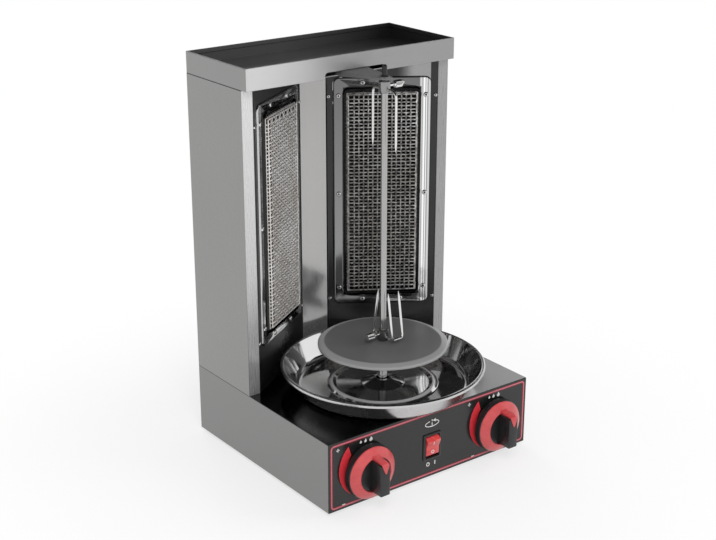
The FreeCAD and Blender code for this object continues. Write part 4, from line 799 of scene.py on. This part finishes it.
def piece(name, finish, parts, body="housing", nodes=(), sharp=35):
    """Joins the parts, brings them to metres and makes them a piece that rides on a body."""
    whole = bmesh.new()
    for part in parts:
        bmesh.ops.remove_doubles(part, verts=part.verts, dist=0.0005)
        bmesh.ops.recalc_face_normals(part, faces=part.faces)
        for face in part.faces:
            face.smooth = True
        for edge in part.edges:
            if len(edge.link_faces) == 2:
                edge.smooth = edge.calc_face_angle() < math.radians(sharp)
        mesh = bpy.data.meshes.new(name)
        part.to_mesh(mesh)
        part.free()
        whole.from_mesh(mesh)
        bpy.data.meshes.remove(mesh)
    bmesh.ops.scale(whole, vec=(MM, MM, MM), verts=whole.verts)
    mesh = bpy.data.meshes.new(name)
    whole.to_mesh(mesh)
    whole.free()
    mesh.materials.append(FINISHES[finish])
    made = bpy.data.objects.new(name, mesh)
    bpy.context.scene.collection.objects.link(made)
    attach(made, body)
    if nodes:
        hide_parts(*nodes)
    return made


def round_edges(thing, width, segments=2):
    """Rounds a finished object's edges where faces meet at more than 40 degrees."""
    bevel = thing.modifiers.new("edges", "BEVEL")
    bevel.width = width
    bevel.segments = segments
    bevel.limit_method = "ANGLE"
    bevel.angle_limit = math.radians(40)
    return bevel


def dress(finish, *nodes, edge=0.0):
    """Gives CAD nodes their finish, and a fine rounding of their edges where edge says how wide."""
    for name in nodes:
        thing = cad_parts[name]
        if thing.material_slots:
            thing.material_slots[0].material = FINISHES[finish]
        else:
            thing.data.materials.append(FINISHES[finish])
        if edge:
            weld = thing.modifiers.new("weld", "WELD")
            weld.merge_threshold = 0.000002
            flat = thing.modifiers.new("flat", "DECIMATE")
            flat.decimate_type = "DISSOLVE"
            flat.angle_limit = math.radians(0.5)
            round_edges(thing, edge * MM).harden_normals = True


# Sheet metal and inner pieces keep their CAD solids

dress("base_steel", "base_shell", edge=0.7)
dress("inner_steel", "base_bottom_plate", "column_top_plate", "motor_bracket", edge=0.4)
dress("panel_black", "front_panel", edge=0.3)
dress("column_steel", "column_shell", edge=0.6)
dress("centre_steel", "centre_panel", edge=0.6)
dress("tray_steel", "top_tray", edge=0.5)
for _, word in SIDES:
    dress(f"wall_{word}", f"burner_wall_{word}", edge=0.4)
    dress(f"tile_{word}", f"ceramic_tiles_{word}")
    dress("burner_iron", f"burner_body_{word}")
    dress("tube_aluminium", f"mixing_tube_{word}", f"gas_tube_{word}")
    dress("fitting_brass", f"gas_valve_{word}", f"valve_plug_{word}")
    dress("rod_steel", f"valve_spindle_{word}")
dress("tube_aluminium", "gas_rail", "supply_pipe")
dress("fitting_brass", "gas_jets", "valve_nuts", "gas_inlet", "drive_bush", "power_inlet_pins")
dress("rod_steel", "drive_shaft")
dress("motor_metal", "gear_motor")
dress("wire_black", "wiring")
dress("switch_black", "power_inlet", edge=0.4)


# Burners, in axes of their own: X along the face, front towards -Y, height from the burner's middle

def burner_turn(side):
    place = Matrix.Translation((side * BURNER_X, BURNER_Y, BURNER_MIDDLE))
    return place @ Matrix.Rotation(math.radians(-side * BURNER_ANGLE), 4, "Z")


def make_burner_frame(side, word):
    """A pressed frame: a turned edge outside, a flat face and a rolled lip round the window."""
    taller = 90
    rows = [
        (62, 8, 1.2), (62, 8, -0.6), (61.7, 7.7, -1.4), (60.9, 6.9, -1.9), (60, 6, -2), (51.2, 10, -2),
        (50.1, 8.9, -2.3), (49.4, 8.2, -3.2), (49.2, 8, -4.2), (48.9, 7.7, -4.8), (48.6, 7.4, -5),
        (48.2, 7, -4.8), (48, 6.8, -4.2), (48, 6.8, 0.9), (48.9, 7.7, 0.9), (48.9, 7.7, -0.8),
        (60.8, 6.8, -0.8), (60.8, 6.8, 1.2),
    ]
    sections = [(wide, wide + taller, corner, depth) for wide, corner, depth in rows]
    part = put(ring_stack(sections), turn=burner_turn(side))
    piece(f"{word}_burner_frame", f"frame_{word}", [part], nodes=(f"burner_frame_{word}",), sharp=50)


def make_burner_mesh(side, word):
    """Woven wire guard, a shallow tray: upright and level wires pass over and under, its rim slopes back."""
    wire, sway, slope, back, foot = 0.9, 1.2, 3, 1.1, -0.6
    edge_x, edge_z = 47 - wire, 135 - wire
    face = -9 + wire + sway
    columns = [x * 6 - 36 for x in range(13)]
    rows = [z * 4.56 - 125.4 for z in range(56)]

    def woven(crossings, edge, number):
        """(across, depth) points of one wire, from one turned-back end to the other."""
        path = [(-edge, back), (-edge, foot), (-edge + slope, face)]
        for index, across in enumerate(crossings):
            path.append((across, face + (sway if (index + number) % 2 else -sway)))
        path += [(edge - slope, face), (edge, foot), (edge, back)]
        return path

    paths, uprights = [], []
    for number, row in enumerate(rows):
        paths.append([(across, depth, row) for across, depth in woven(columns, edge_x, number)])
    for number, column in enumerate(columns):
        uprights.append([(column, depth, up) for up, depth in woven(rows, edge_z, number + 1)])
    for share in (0.06, 0.5, 0.97):
        x, z = edge_x - slope * share, edge_z - slope * share
        depth = foot + (face - foot) * share
        for way in (-1, 1):
            paths.append([(way * x, depth, -z), (way * x, depth, z)])
            paths.append([(-x, depth, way * z), (x, depth, way * z)])
    turn = burner_turn(side)
    node = f"burner_mesh_{word}"
    part = put(wires(paths, wire), turn=turn)
    piece(f"{word}_burner_guard", f"wire_{word}", [part], nodes=(node,), sharp=75)
    part = put(wires(uprights, wire), turn=turn)
    piece(f"{word}_guard_uprights", f"upright_{word}", [part], sharp=75)


def socket_screw(radius, height, socket, turn):
    """A low domed screw head with a socket in its middle; the socket's darkness is a painted shadow, made as
    a separate disc.
    """
    low = 0.35 * height
    profile = [
        (0, low, 0), (socket, low, 0), (socket, height, 0), (0.62 * radius, height, 0.3),
        (0.9 * radius, 0.62 * height, 0.4), (radius, 0.12 * height, 0), (radius, 0, 0), (0, 0, 0),
    ]
    return put(lathe(profile, 20, closed=True), turn=turn)


def socket_shadow_disc(socket, height, turn):
    """A black six-sided disc at the bottom of a screw's socket: a painted shadow."""
    angles = [math.pi / 3 * n for n in range(6)]
    part = plate([(socket * math.cos(k), socket * math.sin(k), 0) for k in angles], 0.12)
    return put(put(part, (0, 0, 0.35 * height)), turn=turn)


def make_burner_screws():
    frame_places = [(x, z) for x in (-25, 25) for z in (-145.5, 145.5)]
    frame_places += [(x, z) for x in (-55.5, 55.5) for z in (-129, 0, 129)]
    wall_places = [(x, z) for x in (-67.9, 67.9) for z in (-144, 128)]
    height = 1.6
    heads, socket_shadows = {"frame": [], "wall": []}, []
    for side, _ in SIDES:
        for where, places, face, radius, socket in (
            ("frame", frame_places, -2, 3.3, 1.5),
            ("wall", wall_places, 0, 2.5, 1.1),
        ):
            for x, z in places:
                turn = burner_turn(side) @ Matrix.Translation((x, face, z)) @ FACING_FRONT
                heads[where].append(socket_screw(radius, height, socket, turn))
                # Each socket gets a black disc as painted shadow.
                socket_shadows.append(socket_shadow_disc(socket - 0.05, height, turn))
    piece("frame_screws", "screw_steel", heads["frame"], nodes=("burner_screws",))
    piece("burner_wall_screws", "screw_steel", heads["wall"], nodes=("wall_screws",))
    piece("screw_socket_shadows", "pin_black", socket_shadows)


# Spit, disc, pan and forks, about the spit's axis

def make_spit():
    rod = [
        (4.1, 101, 0), (5.1, 101, 0.3), (5.5, 101.5, 0), (5.5, 140.2, 0.4), (4.9, 141, 0), (4, 141, 0),
        (4, 480.2, 0.3), (3.4, 481, 0), (2.05, 481, 0), (2.05, 474, 0), (0, 474, 0),
    ]
    piece("spit", "rod_steel", [about_spit(rod, 32, closed=False)], "spit", ("spit_rod",))

    disc = [
        (4.05, 153, 0), (73, 153, 1.5), (79.2, 151.4, 1), (81, 150.2, 1), (81, 147.3, 0.3), (80.6, 147, 0),
        (79.5, 147, 0), (79.5, 149.2, 1), (72.5, 151.4, 1), (9.6, 151.4, 0.5), (9, 150.4, 0),
        (9, 141.6, 0.4), (8.4, 141, 0), (4.05, 141, 0),
    ]
    piece("disc", "disc_steel", [about_spit(disc, 128)], "spit", ("meat_disc",))


def make_pan():
    low = BASE_TOP
    top_side = [
        (8, 102.5, 0), (11, 102.5, 1.2), (27, low + 2, 6), (58.5, low + 2, 3), (64, low + 5.4, 3.2),
        (69.5, low + 1, 3), (107.4, low + 1, 10), (123.8, 123.3, 1.2), (126.4, 123.5, 0.9), (128, 122.6, 0.8),
        (128, 119.4, 0.4),
    ]
    under_side = [
        (127, 119.4, 0.3), (126.6, 122.3, 0.5), (124.5, 122.4, 0.8), (108, low, 11), (69.5, low, 2),
        (64, low + 4.3, 2.4), (58.5, low + 1, 2), (27, low + 1, 5), (11, 101.5, 0.6), (8, 101.5, 0),
    ]
    piece("pan", "pan_steel", [about_spit(top_side + under_side, 160)], nodes=("drip_pan",), sharp=40)


def knurled(radius, length, at, turn):
    """A small turned head with straight ridges round it."""
    ridges = 22
    profile = [(0, 0, 0), (radius, 0, 0.5), (radius, length, 0.5), (0, length, 0)]
    part = lathe(profile, ridges * 2)
    for vert in part.verts:
        angle = math.atan2(vert.co.y, vert.co.x)
        across = math.hypot(vert.co.x, vert.co.y)
        if across > 0.8 * radius:
            share = 1 - 0.07 * (round(angle / math.tau * ridges * 2) % 2)
            vert.co.x *= share
            vert.co.y *= share
    return put(part, at, turn)


def bend_points(points, radius):
    """A path through 3-D corners with each inner corner turned into an arc."""
    steps = 6
    path = [Vector(points[0])]
    for before, here, after in zip(points, points[1:], points[2:]):
        before, here, after = Vector(before), Vector(here), Vector(after)
        start = here + (before - here).normalized() * radius
        end = here + (after - here).normalized() * radius
        for step in range(steps + 1):
            share = step / steps
            path.append(start * (1 - share) ** 2 + here * 2 * share * (1 - share) + end * share**2)
    path.append(Vector(points[-1]))
    return path


def fork_hub(low):
    profile = [(4.05, 0, 0), (6.3, 0, 0.3), (7, 0.7, 0), (7, 13.3, 0.3), (6.3, 14, 0), (4.05, 14, 0)]
    return about_spit(profile, 32, up=low)


def tine(foot, tip, start, bend=4):
    """A pointed tine whose foot bends out of the cross bar, which begins at start."""
    path = bend_points([start, foot, tip], bend)
    path.insert(-1, path[-2].lerp(path[-1], 0.86))
    taper = [1.15] * 2 + [1.0] * (len(path) - 3) + [0.12]
    return wires([path], 1.55, 4, taper)


def make_forks():
    level = 470
    parts = []
    for way in (-1, 1):
        end = SPIT_Y + way * 22
        parts.append(tine((0, end, level), (0, end, 398), (0, SPIT_Y + way * 6, level), 9))
    piece("fork_upper", "fork_chrome", parts, "upper_fork", ("upper_fork",), sharp=50)
    # The hub takes the forks' chrome painted darker: painted shade.
    piece("fork_upper_hub", "hub_chrome_painted_shade", [fork_hub(level - 4)], "upper_fork", sharp=50)

    level, lean = 158.1, math.tan(math.radians(9))
    parts = []
    for across, way in ((0, -1), (0, 1), (16, -1)):
        end = SPIT_Y + way * 19
        tip = (across, end - way * 59 * lean, level + 59)
        start = (0, SPIT_Y + way * 6, level) if across == 0 else (1.5, end, level)
        parts.append(tine((across, end, level), tip, start))
    piece("fork_lower", "fork_chrome", parts, "spit", ("lower_fork",), sharp=50)
    piece("fork_lower_hub", "hub_chrome_painted_shade", [fork_hub(153.1)], "spit", sharp=50)

    for name, node, body, up, way in (
        ("thumb_screw_upper", "upper_fork_screw", "upper_thumb_screw", 474, 1),
        ("thumb_screw_lower", "lower_fork_screw", "lower_thumb_screw", 162, -1),
    ):
        turn = FACING_RIGHT if way > 0 else FACING_LEFT
        shank = [(0, 4.1, 0), (1.6, 4.1, 0), (2, 4.6, 0), (2, 13, 0), (3.2, 13, 0.2), (3.2, 15.2, 0)]
        parts = [put(lathe(shank, 20), (0, SPIT_Y, up), turn), knurled(4.4, 10, (way * 15, SPIT_Y, up), turn)]
        piece(name, "fork_chrome", parts, body, (node,), sharp=30)


def make_top_support():
    """Tapered channel arm with rounded shoulders, its bush and the lift-up pin."""
    top, gauge = ARM_TOP, 1.5
    back, slope_start, slope_end, skirt = 90, SPIT_Y + 8, 4, 7
    outline = [
        (-18.7, back, 0), (-18.7, 11.5, 14), (-7.5, -53, 5), (7.5, -53, 5), (18.7, 11.5, 14), (18.7, back, 0),
    ]
    part = bmesh.new()
    verts = [part.verts.new((x, y, top)) for x, y in rounded(outline, False, 6)]
    face = part.faces.new(verts)
    rim = [edge for edge in face.edges if not all(abs(vert.co.y - back) < 0.01 for vert in edge.verts)]
    grown = bmesh.ops.extrude_edge_only(part, edges=rim)
    for item in grown["geom"]:
        if isinstance(item, bmesh.types.BMVert):
            share = min(1, max(0, (item.co.y - slope_start) / (slope_end - slope_start)))
            item.co.z = top - gauge - (skirt - gauge) * share
    bmesh.ops.recalc_face_normals(part, faces=part.faces)
    arm = piece("top_arm", "bracket_steel", [part], nodes=("top_bracket",), sharp=50)
    wall = arm.modifiers.new("gauge", "SOLIDIFY")
    wall.thickness = gauge * MM
    wall.offset = -1
    wall.use_even_offset = True
    round_edges(arm, 0.5 * MM, 3)

    bush = [
        (3.05, 481.9, 0), (4.9, 481.9, 0), (4.9, 484, 0), (6.5, 484, 0), (6.5, 484.7, 0.25), (6.1, 485, 0),
        (3.05, 485, 0),
    ]
    piece("arm_bush", "tube_aluminium", [about_spit(bush, 32)], nodes=("top_bush",))
    pin = [
        (0, 472.5, 0), (1, 472.5, 0), (2, 473.5, 0), (2, 481.3, 0), (3, 481.3, 0), (3, 485.05, 0),
        (4.4, 485.05, 0), (4.4, 486.2, 0.3), (3, 486.4, 0.2), (3, 497.3, 0.8), (1.8, 499, 0.5), (0, 499, 0),
    ]
    piece("lift_pin", "pin_black", [about_spit(pin, 28, closed=False)], "top_pin", ("top_pin",))


make_spit()
make_pan()
make_forks()
make_top_support()
for side_and_word in SIDES:
    make_burner_frame(*side_and_word)
    make_burner_mesh(*side_and_word)
make_burner_screws()


# Knobs, in axes of their own: X right, Y up, Z out of the panel

def knob_place(side):
    return Matrix.Translation((side * KNOB_X, -HALF_DEPTH, KNOB_UP)) @ FACING_FRONT


def make_knob(side, word):
    skirt = [
        (3.6, 8.5, 0), (12, 8.5, 0), (12, 6.5, 0), (31.3, 6.5, 0), (31.3, 4, 0), (34.3, 4, 0.3),
        (33.8, 11.3, 0.8), (33.1, 12.2, 0), (33.1, 9.5, 0), (21.7, 9.5, 0), (21.7, 17, 0.3), (3.6, 17, 0),
    ]
    grip_side = [(-20.2, 16.5, 0), (-20.2, 37.5, 1.5), (18.2, 37.5, 0), (20.2, 36, 0), (20.2, 16.5, 0)]
    grip = soften(side_plate(grip_side, 13.5), 1.2, 3, 50)
    turn = knob_place(side)
    parts = [put(lathe(skirt, 96, closed=True), turn=turn), put(grip, turn=turn)]
    piece(f"{word}_knob", "knob_black", parts, f"knob_{word}", (f"knob_{word}",), sharp=40)

    section = [
        (21.8, 9.5, 0), (33, 9.5, 0), (33, 12.7, 0.5), (32.3, 13.5, 0.6), (27.5, 16.9, 12), (22.8, 19.5, 0.6),
        (21.8, 19.3, 0.3),
    ]
    band = lathe(section, 112, closed=True)
    bridge = [
        (20.25, 17.05, 0), (20.25, 36.1, 0.5), (18.2, 37.55, 0), (18.2, 38.4, 0), (21.4, 36.8, 1.6),
        (22.8, 32.5, 4), (23.6, 24, 6), (25.2, 17.5, 2), (25.2, 12, 0), (21.85, 12, 0), (21.85, 17.05, 0),
    ]
    tongue = soften(side_plate(bridge, 9.6), 0.5, 2, 50)
    pointer = plate([(-4.8, 18.7, 0), (4.8, 18.7, 0), (0.8, 9, 0.6), (-0.8, 9, 0.6)], 0.85)
    grip_top = 37.55
    put(pointer, (0, 0, grip_top))
    parts = [put(part, turn=turn) for part in (band, tongue, pointer)]
    piece(f"{word}_knob_band", "knob_red", parts, f"knob_{word}", (f"knob_ring_{word}",), sharp=40)


def make_switch():
    half_width, half_height = 14, 17.5
    mouth_x, mouth_z = 10.3, 14.3
    box_x, box_z, box_start = 11.8, 15.3, 13.5
    front = -HALF_DEPTH
    frame_sections = [
        (half_width, half_height, 2.0, front),
        (half_width, half_height, 2.0, front - 0.9),
        (half_width - 0.5, half_height - 0.5, 1.6, front - 1.7),
        (half_width - 1.3, half_height - 1.3, 1.2, front - 2.2),
        (mouth_x + 0.8, mouth_z + 0.8, 0.9, front - 2.2),
        (mouth_x + 0.2, mouth_z + 0.2, 0.5, front - 1.7),
        (mouth_x, mouth_z, 0.4, front - 1.0),
        (mouth_x, mouth_z, 0.4, front + box_start),
        (box_x, box_z, 0.5, front + box_start),
        (box_x, box_z, 0.5, front),
    ]
    bezel = put(ring_stack(frame_sections), (0, 0, SWITCH_UP))
    back_box = block((-box_x, front + 13.4, SWITCH_UP - box_z), (box_x, front + 24, SWITCH_UP + box_z))
    tabs = [
        block((-2.4, front + 23, SWITCH_UP + up - 0.4), (2.4, front + 31, SWITCH_UP + up + 0.4), 0.1)
        for up in (-8, 8)
    ]
    piece("switch_bezel", "switch_black", [bezel, back_box] + tabs, nodes=("switch_housing",))

    tilt = Matrix.Rotation(math.radians(ROCKER_TILT), 4, "X")
    turn = Matrix.Translation((0, ROCKER_PIVOT_Y, SWITCH_UP)) @ tilt
    outline = [
        (1, 13.4, 0.5), (-6.2, 10.4, 1.2), (-4.6, 0, 3), (-6.2, -10.4, 1.2), (1, -13.4, 0.5), (6, -8, 1),
        (9, 0, 1), (6, 8, 1),
    ]
    button = soften(side_plate(outline, 20), 0.5, 2, 50)
    pivot = [(0, -11.5, 0), (1.2, -11.5, 0), (1.2, 11.5, 0), (0, 11.5, 0)]
    trunnion = put(lathe(pivot, 16), turn=FACING_RIGHT)
    parts = [put(button, turn=turn), put(trunnion, turn=turn)]
    piece("rocker", "rocker_red", parts, "rocker", ("switch_rocker",), sharp=45)

    hollow, reach = 1.6, 10.4
    slope = math.atan2(hollow, reach)
    thick = 0.1
    ring = lathe([(1.5, 0, 0), (2.3, 0, 0), (2.3, thick, 0), (1.5, thick, 0)], 24, closed=True)
    line = plate([(x * 0.45, y * 2.2, 0) for x, y in CORNERS], thick)
    marks = []
    for up, part in ((6.2, line), (-6.2, ring)):
        depth = -4.6 - hollow * abs(up) / reach
        lean = Matrix.Rotation(math.radians(90) + math.copysign(slope, up), 4, "X")
        marks.append(put(part, turn=turn @ Matrix.Translation((0, depth, up)) @ lean))
    piece("rocker_marks", "ink_white", marks, "rocker")


# Printed marks on the front panel, in axes of the print: X right, Y up, Z out

PRINT = Matrix.Translation((0, -HALF_DEPTH, 0)) @ FACING_FRONT
PRINT_THICKNESS = 0.12


def flame(height, at):
    """A plain flame with a tip of its own and a shorter tongue beside it."""
    shape = [
        (0, -0.5), (0.2, -0.46), (0.35, -0.3), (0.38, -0.08), (0.3, 0.16), (0.2, -0.02), (0.16, 0.2),
        (0.02, 0.5), (-0.06, 0.24), (-0.22, 0.06), (-0.35, -0.12), (-0.36, -0.3), (-0.21, -0.46),
    ]
    outline = [(x * height, y * height, 0) for x, y in shape]
    return put(plate(outline, PRINT_THICKNESS), (*at, 0))


def bar(width, height, at):
    points = [(x * width / 2, y * height / 2, 0) for x, y in CORNERS]
    return put(plate(points, PRINT_THICKNESS), (*at, 0))


def circle_mark(outer, inner, at):
    section = [(inner, 0, 0), (outer, 0, 0), (outer, PRINT_THICKNESS, 0), (inner, PRINT_THICKNESS, 0)]
    return put(lathe(section, 32, closed=True), (*at, 0))


def turning_mark(at):
    """A level loop with an arrow head, passing round an upright line: the spit turns."""
    wide, high, stroke, steps = 10.5, 3.6, 1.1, 40
    start, end = math.radians(-250), math.radians(62)
    outline = []
    for grow, order in ((stroke / 2, range(steps + 1)), (-stroke / 2, range(steps, -1, -1))):
        for step in order:
            angle = start + (end - start) * step / steps
            outline.append(((wide + grow) * math.cos(angle), (high + grow) * math.sin(angle), 0))
    loop = plate(outline, PRINT_THICKNESS)
    tip = Vector((wide * math.cos(end), high * math.sin(end)))
    arrow = ((1.2, -2.2), (0.6, 2.4), (-4.2, 0.6))
    head = plate([(tip.x + x, tip.y + y, 0) for x, y in arrow], PRINT_THICKNESS)
    stick = [bar(1.1, 2.6, (0, 4.2)), bar(1.1, 3.6, (0, -0.6))]
    return [put(part, (*at, 0)) for part in [loop, head] + stick]


def crescent(side):
    """The heat arc beside a knob: broad with a pointed top, narrowing to its foot."""
    arcs = (((0.4, 6.5), 40.0, 130.8, 250.3), ((12.7, 1.4), 41.8, 231.6, 145.8))
    steps = 36
    outline = []
    for (across, up), radius, first, last in arcs:
        for step in range(steps + 1):
            angle = math.radians(first + (last - first) * step / steps)
            outline.append((across + radius * math.cos(angle), up + radius * math.sin(angle), 0))
    return put(plate(outline, PRINT_THICKNESS), (side * KNOB_X, KNOB_UP, 0))


def make_panel_print():
    middle = (BASE_TOP + FOOT_HEIGHT) / 2
    for name, finish, inset, line, corner, proud in (
        ("panel_border", "ink_red_deep", 2.4, 3.4, 5.6, 0.08),
        ("panel_border_line", "ink_pink", 3.1, 1.7, 4.9, PRINT_THICKNESS),
    ):
        half_width, half_height = HALF_WIDTH - inset, (BASE_TOP - FOOT_HEIGHT) / 2 - inset
        sections = [
            (half_width - step, half_height - step, corner - step, -HALF_DEPTH - height)
            for step, height in ((0, 0), (0, proud), (line, proud), (line, 0))
        ]
        piece(name, finish, [put(ring_stack(sections), (0, 0, middle))])
    arcs = [put(crescent(side), turn=PRINT) for side, _ in SIDES]
    piece("panel_heat_arcs", "ink_red", arcs)

    turning_up, switch_marks_up, flames_up, more_up, less_up = 76, 22, 84.6, 83.5, 10.5
    marks = turning_mark((0, turning_up))
    marks += [bar(1.3, 5, (5.5, switch_marks_up)), circle_mark(2.7, 1.6, (-5.5, switch_marks_up))]
    for side, _ in SIDES:
        x = side * KNOB_X
        marks += [flame(size, (x + shift, flames_up)) for size, shift in ((4.2, -8), (5.2, -1), (6.4, 7))]
        marks += [bar(4.6, 1.1, (x - 41, more_up)), bar(1.1, 4.6, (x - 41, more_up))]
        marks.append(bar(4.6, 1.1, (x - 33, less_up)))
    piece("panel_marks", "ink_white", [put(mark, turn=PRINT) for mark in marks])


for side_and_word in SIDES:
    make_knob(*side_and_word)
make_switch()
make_panel_print()


# Feet and case screws

def make_feet():
    profile = [
        (0, 0, 0), (4, 0, 0.3), (4.6, 0.8, 0.3), (6.4, 0.8, 0.3), (7, 0, 0.3), (10, 0, 0.6), (11, 1.4, 1),
        (10.2, FOOT_HEIGHT, 0.3), (2.9, FOOT_HEIGHT, 0), (2.9, 6.2, 0), (4.6, 6.2, 0.3), (3, 8.8, 0.6),
        (0, 8.8, 0),
    ]
    feet = [put(lathe(profile, 32), (x, y, 0)) for x in (-128, 128) for y in (-115, 115)]
    piece("rubber_feet", "rubber_black", feet, nodes=("feet",))


def make_case_screws():
    gauge, tab_middle = 1.2, 4.5
    tab_x = HALF_WIDTH - gauge - tab_middle
    heads = [((x, HALF_DEPTH, 9.6), FACING_BACK) for x in (-120, 120)]
    heads += [((x, HALF_DEPTH, COLUMN_TOP - 5), FACING_BACK) for x in (-125, 125)]
    heads += [((x, y, BASE_TOP + gauge), UPRIGHT) for x in (-tab_x, tab_x) for y in (50, 115)]
    heads += [((0, y, ARM_TOP), UPRIGHT) for y in (48, 76)]
    parts = [socket_screw(3.5, 1.3, 1.2, Matrix.Translation(at) @ turn) for at, turn in heads]
    piece("case_screw_heads", "screw_steel", parts, nodes=("case_screws",))


make_feet()
make_case_screws()

bpy.context.scene.view_settings.view_transform = "Standard"
